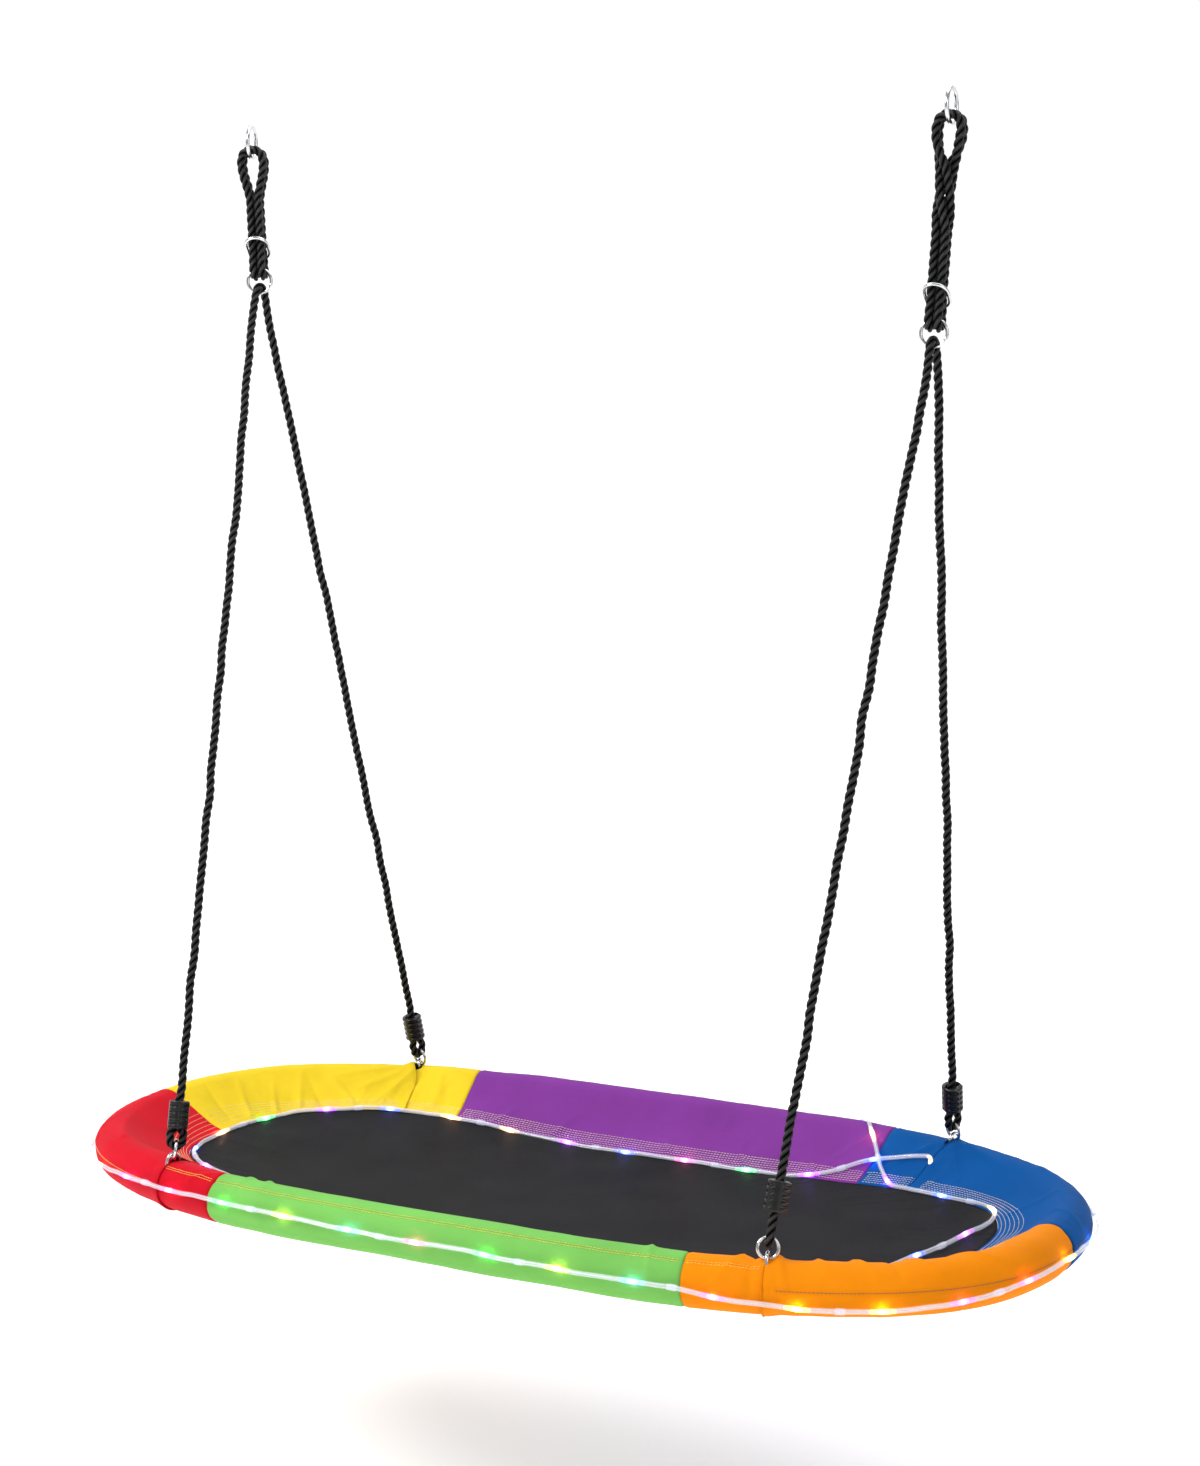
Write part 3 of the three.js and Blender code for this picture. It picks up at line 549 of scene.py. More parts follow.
def cloth_material(name, colour, dark=0.8, light=1.06, threads=850.0, kind="UV", gloss=0.05):
    material, tree, shader = principled(name, colour, 0.62)
    vector = coordinates(tree, kind)
    threads_height = weave(tree, vector, threads)
    cloud = noise(tree, vector, 9.0, 5.0)
    tone = blend_of(tree, (cloud, 0.75), (threads_height, 0.3))
    low = tuple(min(1, c * dark) for c in colour)
    high = tuple(min(1, c * light + 0.004) for c in colour)
    tint(tree, shader, tone, (0.25, low), (0.75, high))
    tree.links.new(scaled(tree, cloud, 0.25, 0.5), shader.inputs["Roughness"])
    shader.inputs["Specular IOR Level"].default_value = gloss
    fine = blend_of(tree, (threads_height, 1.0), (noise(tree, vector, 60.0, 3.0), 2.0))
    bump(tree, shader, fine, 0.00035, 0.8)
    return material


def grainy_material(name, tones, roughness, cloud, grain, metallic=0.0):
    """Tones and roughness that vary in patches over fine grain.

    `tones` are two (place, colour) stops, `roughness` the least and its gain, `cloud` the patches'
    scale, and `grain` the bump's scale, depth and strength.
    """
    material, tree, shader = principled(name, tones[1][1], roughness[0], metallic)
    vector = coordinates(tree)
    patches = noise(tree, vector, cloud)
    tint(tree, shader, patches, *tones)
    tree.links.new(scaled(tree, patches, roughness[1], roughness[0]), shader.inputs["Roughness"])
    bump(tree, shader, noise(tree, vector, grain[0], 2.0), *grain[1:])
    return material


def steel_material(name, colour=(0.78, 0.79, 0.81), roughness=0.1):
    tones = (0.3, tuple(c * 0.86 for c in colour)), (0.7, colour)
    return grainy_material(name, tones, (roughness, 0.16), 160.0, (900.0, 0.00006, 0.5), 1.0)


def plastic_material(name, colour, roughness):
    tones = (0.35, colour), (0.75, tuple(c * 1.7 + 0.001 for c in colour))
    return grainy_material(name, tones, (roughness, 0.2), 120.0, (1500.0, 0.00008, 0.6))


def rope_material(name):
    """Laid rope: the mesh's UV runs across each strand (0 in the valley, 1 on the crest) and along. The
    colour is painted darker towards the valleys and lighter on the crests: painted shade between the strands.
    """
    material, tree, shader = principled(name, (0.004, 0.004, 0.004), 0.5)
    across = node(tree, "ShaderNodeSeparateXYZ")
    tree.links.new(coordinates(tree, "UV"), across.inputs[0])
    crest = across.outputs[0]
    fibres = noise(tree, coordinates(tree, "UV", (9, 75, 1)), 7.0, 5.0, 0.7)
    slanted = blend_of(tree, (crest, 9.0), (across.outputs[1], 1100.0))
    yarn = maths(tree, "ABSOLUTE", maths(tree, "SINE", slanted))
    # Painted shade: the fibres' random tone is darkened towards each valley between strands, so the crests
    # look lit.
    lit = maths(tree, "MULTIPLY", fibres, scaled(tree, crest, 0.8, 0.2))
    tint(tree, shader, lit, (0.22, (0.0008, 0.0008, 0.0009)), (0.7, (0.024, 0.024, 0.0255)))
    tree.links.new(scaled(tree, fibres, 0.35, 0.22), shader.inputs["Roughness"])
    shine = maths(tree, "MULTIPLY", maths(tree, "MULTIPLY", crest, crest), 0.42)
    tree.links.new(shine, shader.inputs["Specular IOR Level"])
    bump(tree, shader, blend_of(tree, (yarn, 1.0), (fibres, 1.6)), 0.0005, 0.9)
    return material


def foam_material(name):
    material, tree, shader = principled(name, (0.05, 0.05, 0.055), 0.85)
    vector = coordinates(tree)
    cells = node(tree, "ShaderNodeTexVoronoi", Scale=900.0)
    tree.links.new(vector, cells.inputs["Vector"])
    distance = cells.outputs["Distance"]
    tint(tree, shader, distance, (0.1, (0.03, 0.03, 0.033)), (0.6, (0.07, 0.07, 0.075)))
    bump(tree, shader, distance, 0.0004, 0.8)
    return material


def clear_material(name):
    material, tree, shader = principled(name, (0.8, 0.82, 0.9), 0.12)
    vector = coordinates(tree, "UV")
    cloud = noise(tree, vector, 45.0, 3.0)
    tint(tree, shader, cloud, (0.3, (0.66, 0.68, 0.76)), (0.8, (0.86, 0.87, 0.95)))
    tree.links.new(scaled(tree, cloud, 0.15, 0.06), shader.inputs["Roughness"])
    shader.inputs["Alpha"].default_value = 0.3
    # Painted glow: the clear plastic is given a faint, even bluish-white emission, though it is no lamp.
    shader.inputs["Emission Color"].default_value = (0.72, 0.76, 1.0, 1)
    shader.inputs["Emission Strength"].default_value = 0.35
    shader.inputs["IOR"].default_value = 1.4
    shader.inputs["Coat Weight"].default_value = 0.4
    bump(tree, shader, cloud, 0.0003, 0.4)
    return material


def glow_material(name, colour, strength, white, alpha):
    material, tree, shader = principled(name, colour, 0.3)
    vector = coordinates(tree)
    cloud = noise(tree, vector, 700.0, 2.0)
    pale = tuple(white + (1 - white) * c for c in colour)
    tint(tree, shader, cloud, (0.35, colour), (0.7, pale), socket="Emission Color")
    shader.inputs["Emission Strength"].default_value = strength
    shader.inputs["Alpha"].default_value = alpha
    return material


FABRICS = {
    "red": (0.64, 0.004, 0.018),
    "yellow": (0.86, 0.62, 0.022),
    "purple": (0.22, 0.04, 0.31),
    "blue": (0.0, 0.085, 0.33),
    "orange": (0.93, 0.27, 0.0),
    "green": (0.2, 0.55, 0.11),
}
fabric = {c: cloth_material(f"fabric_{c}", v) for c, v in FABRICS.items()}
mat_cloth = cloth_material("mat_cloth", (0.0165, 0.0165, 0.018), 0.75, 1.5, 620.0, "Object", 0.02)
pouch_cloth = cloth_material("pouch_cloth", (0.009, 0.009, 0.01), 0.7, 1.8, 700.0, "Object", 0.03)
ring_steel = steel_material("ring_steel")
frame_steel = steel_material("frame_steel", (0.36, 0.37, 0.39), 0.34)
black_rope = rope_material("black_rope")
clamp_plastic = plastic_material("clamp_plastic", (0.004, 0.004, 0.0045), 0.2)
box_plastic = plastic_material("box_plastic", (0.03, 0.03, 0.032), 0.4)
foam_rubber = foam_material("foam_rubber")
clear_pvc_painted_glow = clear_material("clear_pvc_painted_glow")
wire_metal = steel_material("wire_metal", (0.72, 0.7, 0.66), 0.24)
thread_light = plastic_material("thread_light", (0.62, 0.55, 0.3), 0.5)
thread_gold = plastic_material("thread_gold", (0.75, 0.5, 0.08), 0.5)
thread_dark = plastic_material("thread_dark", (0.05, 0.05, 0.07), 0.5)


# ---- camera, at the photograph's angle ----
def put(name, data, right, up, back, position):
    """Object in the scene with the given axes and place."""
    obj = bpy.data.objects.new(name, data)
    bpy.context.scene.collection.objects.link(obj)
    matrix = np.eye(4)
    matrix[:3] = np.stack([right, up, back, position], 1)
    obj.matrix_world = Matrix(matrix.tolist())
    return obj


def view_axes(yaw, pitch, roll):
    """Right, up and backward axes of a camera."""
    cy, sy, cp, sp = math.cos(yaw), math.sin(yaw), math.cos(pitch), math.sin(pitch)
    forward = np.array([cy * cp, sy * cp, -sp])
    right = np.array([sy, -cy, 0.0])
    up = np.cross(right, forward)
    cr, sr = math.cos(roll), math.sin(roll)
    return right * cr + up * sr, up * cr - right * sr, -forward


CAMERA_PLACE = (1.82304, -3.31994, -0.43768)
CAMERA_YAW, CAMERA_PITCH, CAMERA_ROLL = (math.radians(a) for a in (118.2, 6.557, 0.4128))
CAMERA_LENS = 65.39

camera_data = bpy.data.cameras.new("camera")
camera_data.lens = CAMERA_LENS
camera_data.sensor_width = 36.0
camera_data.clip_end = 60.0
axes = view_axes(CAMERA_YAW, CAMERA_PITCH, CAMERA_ROLL)
bpy.context.scene.camera = put("camera", camera_data, *axes, CAMERA_PLACE)


# ---- axes of the hanging gear ----
def pivot_point(side):
    sx, pivot_z, _, _ = SIDES[side]
    lean = (HANG_X - EYE_X) / (HANG_HEIGHT - HANG_RING[0] + HANG_RING[1] - RING_Z)
    return np.array([sx * (EYE_X + (pivot_z - RING_Z) * lean), 0, pivot_z])


def side_of(corner):
    return "left" if CORNERS[corner][0] < 0 else "right"


def corner_u(corner):
    sx, sy = CORNERS[corner][:2]
    quarter = {(1, 1): EYE_U, (-1, 1): 0.5 - EYE_U, (-1, -1): 0.5 + EYE_U, (1, -1): 1 - EYE_U}
    return quarter[(sx, sy)]


def corner_frame(corner):
    """Seat ring's centre, the direction up the rope, the ring's normal and the one across."""
    sx, sy, azimuth, _ = CORNERS[corner]
    centre = np.array([sx * EYE_X, sy * oval_point(EYE_U)[1], RING_Z])
    up = unit(pivot_point(side_of(corner)) + [0, sy * BRIDLE_HALF, 0] - centre)
    normal = square_to(up, level_axis(azimuth))
    return centre, up, normal, np.cross(up, normal)


def hang_frame(side):
    sx, _, yaw, _ = SIDES[side]
    centre = np.array([sx * HANG_X, 0, HANG_HEIGHT - HANG_RING[0] + HANG_RING[1]])
    pivot = pivot_point(side)
    up = unit(centre - pivot)
    level = level_axis(yaw)
    e1 = square_to(up, level)
    return centre, up, level, e1, np.cross(up, e1), np.linalg.norm(centre - pivot)


def clamp_base(corner):
    return sum(SEAT_RING) + CORNERS[corner][3]


def seat_piece(obj):
    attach(obj, "seat")
    return obj


def stand_in(obj, replaced, body="seat"):
    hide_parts(replaced)
    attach(obj, body)


# ---- ropes ----
ROPE_SIDES = 24
LAY_PITCH = 37.0
VALLEY = 0.5
sway_field = Field(57)


def rope_mesh(name, path):
    """Three-strand laid rope along a path."""
    path = resample(path, 2.5)
    run = run_of(path)
    delta = np.abs((np.arange(ROPE_SIDES) * 3 / ROPE_SIDES) % 1 - 0.5) * 2
    lobes = 1.06 - VALLEY * (1 - delta) ** 2
    turn = 2 * math.pi * run / LAY_PITCH
    points, faces, uv = closed_tube(path, ROPE_R, ROPE_SIDES, turn, lobes)
    uv[:-2, 0] = np.tile(1 - (1 - delta) ** 2, len(path))
    return new_mesh(name, points, faces, black_rope, uv), path


def bridle_leg(corner):
    """Rope's points from its tail, round the seat ring and up through the clamp."""
    centre, up, normal, _ = corner_frame(corner)
    at = lambda height, offset: centre + up * height + normal * offset
    wire = SEAT_RING[0]
    bend = SEAT_RING[1] + ROPE_R + 0.5
    base = clamp_base(corner)
    points = [at(base + TAIL, STRAND), at(base - 2, STRAND), at(wire + 11, bend + 0.2)]
    for angle in range(0, 181, 30):
        a = math.radians(angle)
        points.append(at(wire - bend * math.sin(a), bend * math.cos(a)))
    points += [at(wire + 11, -bend - 0.2), at(base - 2, -STRAND), at(base + TAIL, -STRAND)]
    points += [at(base + CLAMP_HEIGHT + 6, 0), at(base + CLAMP_HEIGHT + 60, 0)]
    return points + [at(height, 0) for height in (250, 400, 500, 650, 800, 950)]


def bridle_path(side):
    """One side's bridle rope, with the small waves that a used rope keeps."""
    sx = SIDES[side][0]
    near, far = f"near_{side}", f"far_{side}"
    pivot = pivot_point(side)
    rise = ADJUST_RING[1] + ROPE_R + 1
    over = lambda y, z: pivot + [0, y, z]
    top = [over(-BRIDLE_HALF - 11, -42), over(-BRIDLE_HALF, 0)]
    top += [over(-BRIDLE_HALF * 0.66, rise * 0.72), over(0, rise), over(BRIDLE_HALF * 0.66, rise * 0.72)]
    top += [over(BRIDLE_HALF, 0), over(BRIDLE_HALF + 11, -42)]
    path = resample(spline(bridle_leg(near) + top + bridle_leg(far)[::-1]), 2.5)
    run = run_of(path)
    free = np.clip(np.minimum(run, run[-1] - run) / 120 - 1.4, 0, 1)
    free = free * np.clip(np.abs(run - run[-1] / 2) / 60 - 1, 0, 1)
    wave = np.stack([sway_field(run / 38, 5 * sx), sway_field(run / 41, 9 * sx + 3), 0 * run], 1)
    return path + wave * free[:, None] * 1.5


def hang_path(side):
    """The doubled hang rope: four strands between the hang ring and the adjuster ring."""
    centre, up, _, e1, e2, reach = hang_frame(side)
    turn = math.radians(SIDES[side][3])
    low = ADJUST_RING[0] - reach

    def at(a, b, height):
        angle = turn * min(1, max(0, (TWIST_TOP - height) / (TWIST_TOP - TWIST_BOTTOM)))
        x = a * math.cos(angle) - b * math.sin(angle)
        y = a * math.sin(angle) + b * math.cos(angle)
        return centre + up * height + e1 * x + e2 * y

    def strand(sa, sb):
        heights = [(16.5, -28), (15, -46), (10.5, -64), (STRAND, -84), (STRAND, -103), (STRAND, -122)]
        points = [at(sa * a, sb * STRAND, z) for a, z in heights + [(STRAND, -141)]]
        if turn:
            points += [at(sa * STRAND, sb * STRAND, -160), at(sa * STRAND, sb * STRAND, -200)]
        points += [at(sa * STRAND, sb * STRAND, low + 40), at(sa * STRAND, sb * 9.2, low + 20)]
        return points + [at(sa * STRAND, sb * 7, low + 9.5)]

    top = lambda sb: [at(-12, sb * STRAND, -15.4), at(0, sb * STRAND, -10), at(12, sb * STRAND, -15.4)]
    points = [at(-STRAND, 0.6, low + 6.3)] + strand(-1, 1)[::-1] + top(1) + strand(1, 1)
    points += [at(STRAND, 0, low + 6.3)] + strand(1, -1)[::-1] + top(-1)[::-1] + strand(-1, -1)
    return spline(points + [at(-STRAND, -0.6, low + 6.3)])


for side in SIDES:
    for kind, path, body in (
        ("bridle_rope", bridle_path(side), f"{side}_bridle"),
        ("hang_rope", hang_path(side), "upper_ropes"),
    ):
        rope, line = rope_mesh(f"laid_{kind}_{side}", path)
        stand_in(rope, f"{kind}_{side}", body)
        metres = world(line)
        float(run_of(metres)[-1])


# ---- the light string: fraction of the oval, mm outside its centre line, height ----
LIGHT_ROUTE = [
    (0.12346, -121, -60), (0.12346, -94, -57), (0.12346, -76, -48), (0.12346, -64, -24),
    (0.12346, -55, 2), (0.1245, -49, 17), (0.13, -50, 16), (0.14, -58, 9), (0.153, -72, -1),
    (0.168, -96, -22), (0.182, -110, -32),
    (0.2, -111, -34), (0.25, -112, -34.5), (0.29, -111, -34), (0.325, -111, -26), (0.352, -111, -16),
    (0.38, -110, -12), (0.405, -110, -12), (0.43, -110, -14), (0.455, -110, -17), (0.48, -110, -18),
    (0.5, -111, -18), (0.52, -113, -18), (0.535, -114, -17), (0.56, -112, -16), (0.585, -111, -15),
    (0.615, -111, -16), (0.645, -111, -22), (0.69, -111, -31), (0.75, -112, -34.5),
    (0.81, -111, -32), (0.85, -112, -26), (0.88, -121, -23), (0.91, -147, -24), (0.94, -166, -25),
    (0.97, -170, -24), (0.995, -160, -22), (1.02, -137, -18), (1.038, -115, -15), (1.052, -97, -12),
    (1.0625, -87, -9), (1.073, -88, -9), (1.088, -96, -11), (1.106, -105, -13), (1.122, -110, -16),
    (1.134, -104, -18), (1.143, -84, -5), (1.152, -52, 18), (1.16, -20, 37), (1.166, 8, 41),
    (1.171, 31, 29), (1.18, 40, 8),
    (1.2, 42, 6), (1.25, 43, 2), (1.3, 42, 6), (1.34, 42, 4), (1.37, 42, 6), (1.395, 42, 3),
    (1.42, 42, 0), (1.44, 42, -4), (1.46, 42, -6), (1.48, 42, -6), (1.5, 42, -7), (1.52, 42, -8),
    (1.54, 42, -8), (1.56, 42, -6), (1.58, 42, -2), (1.605, 42, 4), (1.63, 42, 8), (1.66, 42, 9),
    (1.7, 42, 8), (1.75, 43, 7), (1.8, 42, 4), (1.84, 42, 1), (1.87, 41, -9), (1.895, 40, -14),
    (1.92, 40, -14), (1.94, 41, -9), (1.96, 42, -2), (1.98, 42, 3), (2, 42, 4), (2.02, 42, 2),
    (2.04, 42, -2), (2.06, 42, -5), (2.085, 42, -4), (2.11, 42, 0), (2.135, 42, 3), (2.16, 42, 3),
]
LED_FIRST = 107.0
# Lamp spacing on the first stretch, where the string bends most, and on the rest of it.
LED_STEPS = (103.2, 107.5)
LED_STEP_CHANGE = 1440.0
LED_COLOURS = """
    w b p g m b p w w b p g w b p g y b m g w p b y g b p w b p w b g p
    y b m g w p b y g m b p w p m g y c m g y c m y y p m y c b g p w b
"""
LIGHT_HUES = {
    "b": (0.02, 0.1, 1.0), "w": (1.0, 0.55, 0.2), "g": (0.02, 0.9, 0.16), "p": (0.42, 0.03, 1.0),
    "y": (1.0, 0.78, 0.06), "m": (1.0, 0.05, 0.42), "c": (0.05, 0.42, 1.0),
}
# Layers of light round each lamp: name, length and radius in mm, strength, share of white, alpha. The core is
# the lamp; the near and halo layers are glowing shells over the tube, a painted glow of lamp light spread
# through the plastic.
GLOWS = (
    ("core", 6.0, 2.1, 90.0, 0.14, 1.0),
    ("near", 15.0, 3.32, 7.0, 0.1, 0.5),
    ("halo", 34.0, 3.4, 2.6, 0.03, 0.3),
)

light_path = resample(spline([rim_point(*p) for p in LIGHT_ROUTE]), 4.0)
light_run = run_of(light_path)
light_field = Field(83)
settled = np.clip(light_run / 120 - 2, 0, 1)
light_path[:, 2] += settled * (1.7 * light_field(light_run / 62, 4) + 0.7 * light_field(light_run / 27, 8))
points, faces, uv = closed_tube(light_path, LIGHT_R, 12)
light_tube = new_mesh("light_tube", points, faces, clear_pvc_painted_glow, uv)
stand_in(light_tube, "light_string")


def light_place(distance):
    return np.array([np.interp(distance, light_run, light_path[:, k]) for k in range(3)])


def light_stretch(centre, length, count):
    """Short stretch of the string's centre line."""
    low, high = max(0.5, centre - length / 2), min(light_run[-1] - 0.5, centre + length / 2)
    return np.array([light_place(d) for d in np.linspace(low, high, count)])


wires = []
_, n1, n2 = frames_along(light_path)
for phase in (0, math.pi):
    twist = light_run / 75 + phase
    line = light_path + 1.5 * (np.cos(twist)[:, None] * n1 + np.sin(twist)[:, None] * n2)
    wires.append(closed_tube(line, 0.55, 6)[:2])
light_wires = seat_piece(new_mesh("light_wires", *merge(wires), wire_metal))

bead_parts = {}
lamps = [LED_FIRST]
while lamps[-1] < light_run[-1] - 120:
    lamps.append(lamps[-1] + LED_STEPS[lamps[-1] > LED_STEP_CHANGE])
for distance, hue in zip(lamps, LED_COLOURS.split()):
    for glow in GLOWS:
        kind, length, radius = glow[:3]
        line = light_stretch(distance, length, 13)
        taper = np.clip(1 - np.linspace(-1, 1, 13) ** 2, 0.02, 1) ** (0.5 if kind == "core" else 0.12)
        bead_parts.setdefault((glow, hue), []).append(closed_tube(line, radius * taper, 12)[:2])
for (glow, hue), parts in bead_parts.items():
    kind, _, _, strength, white, alpha = glow
    colour = tuple(white + (1 - white) * c for c in LIGHT_HUES[hue])
    material = glow_material(f"glow_{kind}_{hue}", colour, strength, white, alpha)
    bead = new_mesh(f"light_{kind}_{hue}", *merge(parts), material)
    seat_piece(bead)

clips = []
for k in range(1, len(lamps) - 1, 2):
    line = light_stretch((lamps[k] + lamps[k + 1]) / 2, 13, 7)
    swell = np.array([0.92, 1.0, 1.0, 1.0, 1.0, 1.0, 0.92])
    clips.append(closed_tube(line, 4.3 * swell, 14)[:2])
cap = light_stretch(light_run[-1] - 7, 15, 9)
clips.append(closed_tube(cap, np.array([3.9, 4.2, 4.2, 4.2, 4.2, 4.2, 4.1, 3.6, 2.4]), 14)[:2])
light_clips = seat_piece(new_mesh("light_clips", *merge(clips), clear_pvc_painted_glow))
light_metres = world(light_path)
float(run_of(light_metres)[-1])


# ---- steel rings and eyes ----
def ring_mesh(name, size, x, y, z, centre, stretch=0.0, weld=1.9):
    """Bent and welded wire ring in the x-y plane of the axes given."""
    r, wire = size
    around, sides = 96, 20
    theta = turns(around)
    bead = 1 + 0.16 * bell(np.angle(np.exp(1j * (theta - weld))), 0.07)
    phi = turns(sides)
    radial = r + (wire * bead)[:, None] * np.cos(phi)[None, :]
    a = radial * np.cos(theta)[:, None]
    b = radial * np.sin(theta)[:, None]
    b = b + np.tanh(b / 2.0) * stretch
    c = (wire * bead)[:, None] * np.sin(phi)[None, :]
    points = centre + a[..., None] * x + b[..., None] * y + c[..., None] * z
    return new_mesh(name, points.reshape(-1, 3), grid_faces(around, sides, True, True, flip=True), ring_steel)


for side in SIDES:
    centre, up, level, e1, e2, reach = hang_frame(side)
    across = np.cross(UP, level)
    stand_in(ring_mesh(f"wire_hang_ring_{side}", HANG_RING, across, UP, level, centre),
                f"hang_ring_{side}", "hangers")
    low = centre - up * (reach - ADJUST_RING[0])
    stand_in(ring_mesh(f"wire_adjust_ring_{side}", ADJUST_RING, e1, up, -e2, low, weld=-0.4),
                f"adjust_ring_{side}", "upper_ropes")
    tilt = math.radians(CINCH_TILT)
    long = up * math.sin(tilt) - e2 * math.cos(tilt)
    stand_in(ring_mesh(f"wire_cinch_ring_{side}", CINCH_RING, e1, long, np.cross(e1, long),
                          low + up * CINCH_RISE, stretch=CINCH_STRETCH, weld=0.1),
                f"cinch_ring_{side}", "upper_ropes")

for corner in CORNERS:
    centre, up, normal, across = corner_frame(corner)
    stand_in(ring_mesh(f"wire_seat_ring_{corner}", SEAT_RING, across, up, normal, centre, weld=0.3),
                f"seat_ring_{corner}", f"{side_of(corner)}_bridle")
    tangent = np.append(oval_tangent(corner_u(corner)), 0)
    eye_up = square_to(tangent, up)
    lateral = np.cross(eye_up, tangent)
    top = centre - eye_up * EYE_DROP
    foot = EYE_DROP + TUBE_R - RING_Z - 1
    line = [top - lateral * EYE_BEND + eye_up * h for h in (foot, -30, -22, -16)]
    for angle in range(-90, 91, 15):
        a = math.radians(angle)
        line.append(top + lateral * EYE_BEND * math.sin(a) + eye_up * EYE_BEND * (math.cos(a) - 1))
    line += [top + lateral * EYE_BEND + eye_up * h for h in (-16, -22, -30, foot)]
    rod = resample(spline(line, 8), 1.2)
    run = run_of(rod)
    weld = 1 + 0.5 * bell(np.minimum(run, run[-1] - run), 2.5)
    points, faces, _ = closed_tube(rod, EYE_ROD_R * weld, 16)
    stand_in(new_mesh(f"bent_eye_{corner}", points, faces, ring_steel), f"rope_eye_{corner}")


# ---- rope clamps ----
RIB_PITCH = 8.4
RIB_DEPTH = 3.0


def clamp_mesh(name, corner):
    """Ribbed barrel: two ribbed halves, smooth bands on the slot's ends, a seam on each side."""
    centre, up, normal, across = corner_frame(corner)
    sides, rows = 96, 93
    theta = turns(sides)
    height = np.linspace(-CLAMP_HEIGHT / 2, CLAMP_HEIGHT / 2, rows)
    band = np.abs(np.cos(theta)) > 0.9
    seam = np.abs(np.cos(theta)) < 0.09
    rib = np.clip(np.cos(height * 2 * math.pi / RIB_PITCH) * 3 + 0.6, -1, 1) * 0.5 + 0.5
    r = np.tile((CLAMP_R - RIB_DEPTH * (1 - rib))[:, None], (1, sides))
    r[:, band] = CLAMP_R - 1.0
    r[:, seam] = CLAMP_R - 0.2
    ends = np.clip((CLAMP_HEIGHT / 2 - np.abs(height)) / 2.2, 0, 1)
    r = r - 2.4 * (1 - np.sqrt(1 - (1 - ends) ** 2))[:, None]
    outer = np.stack([r * np.cos(theta), np.tile(height[:, None], (1, sides)), r * np.sin(theta)], -1)
    flat = CLAMP_SLOT_HALF - CLAMP_SLOT_R
    slot_x = flat * np.clip(np.cos(theta) * 2.2, -1, 1) + CLAMP_SLOT_R * np.cos(theta)
    slot_z = CLAMP_SLOT_R * np.sin(theta) / np.maximum(0.75, np.abs(np.sin(theta)) ** 0.35)
    inner = []
    for h, flare in ((1, 1.0), (1, 0.0), (-1, 0.0), (-1, 1.0)):
        level = h * (CLAMP_HEIGHT / 2 - (0.0 if flare else 1.2))
        wide, tall = slot_x * (1 + 0.05 * flare), slot_z * (1 + 0.08 * flare)
        inner.append(np.stack([wide, np.full(sides, level), tall], 1))
    points = np.concatenate([outer, np.array(inner)]).reshape(-1, 3)
    total = rows + 4
    middle = centre + up * (clamp_base(corner) + CLAMP_HEIGHT / 2)
    points = middle + points[:, :1] * normal + points[:, 1:2] * up - points[:, 2:] * across
    return new_mesh(name, points, grid_faces(total, sides, True, True), clamp_plastic)


for corner in CORNERS:
    clamp = clamp_mesh(f"ribbed_clamp_{corner}", corner)
    stand_in(clamp, f"rope_clamp_{corner}", f"clamp_{corner}")


# ---- padded rim ----
AROUND = 96
OVERLAP_LIFT = 2.3


def shell(outer, normal, thickness):
    """Closed skin: the outer grid, the same grid moved in, and the strips that join their edges."""
    rows, columns = outer.shape[:2]
    inner = outer - normal * thickness
    points = np.concatenate([outer.reshape(-1, 3), inner.reshape(-1, 3)])
    n = rows * columns
    faces = [grid_faces(rows, columns), grid_faces(rows, columns, start=n, flip=True)]
    loop = np.concatenate([
        np.arange(columns - 1),
        np.arange(rows - 1) * columns + columns - 1,
        n - 1 - np.arange(columns - 1),
        (rows - 1 - np.arange(rows - 1)) * columns,
    ])
    following = np.roll(loop, -1)
    faces.append(np.stack([following, loop, loop + n, following + n], 1))
    return points, np.concatenate(faces)


PIECES = [
    ("blue", "blue", 0.0, EYE_U, "seam", "over"),
    ("blue_flap", "blue", EYE_U, SEAM_U, "under", "seam"),
    ("purple", "purple", SEAM_U, 0.5 - SEAM_U, "seam", "seam"),
    ("yellow_flap", "yellow", 0.5 - SEAM_U, 0.5 - EYE_U, "seam", "under"),
    ("yellow", "yellow", 0.5 - EYE_U, 0.5, "over", "seam"),
    ("red", "red", 0.5, 0.5 + EYE_U, "seam", "over"),
    ("red_flap", "red", 0.5 + EYE_U, 0.5 + SEAM_U, "under", "seam"),
    ("green", "green", 0.5 + SEAM_U, 1 - SEAM_U, "seam", "seam"),
    ("orange_flap", "orange", 1 - SEAM_U, 1 - EYE_U, "seam", "under"),
    ("orange", "orange", 1 - EYE_U, 1.0, "over", "seam"),
]


def end_shift(kind, q, centre):
    """How far a piece's end stops short of its line, mm, round the section."""
    if kind == "seam":
        return np.full_like(q, 0.15)
    slit = bell((q - q_of_angle(centre, EYE_PHI)) * SECTION_LENGTH, 17)
    return -4.0 + 9.0 * slit if kind == "over" else -7.0 + 13.5 * slit


def end_lift(kind, distance):
    """How far a piece stands off near its end, mm."""
    return OVERLAP_LIFT * np.clip(1.6 - distance / 14, 0, 1) if kind == "over" else 0 * distance


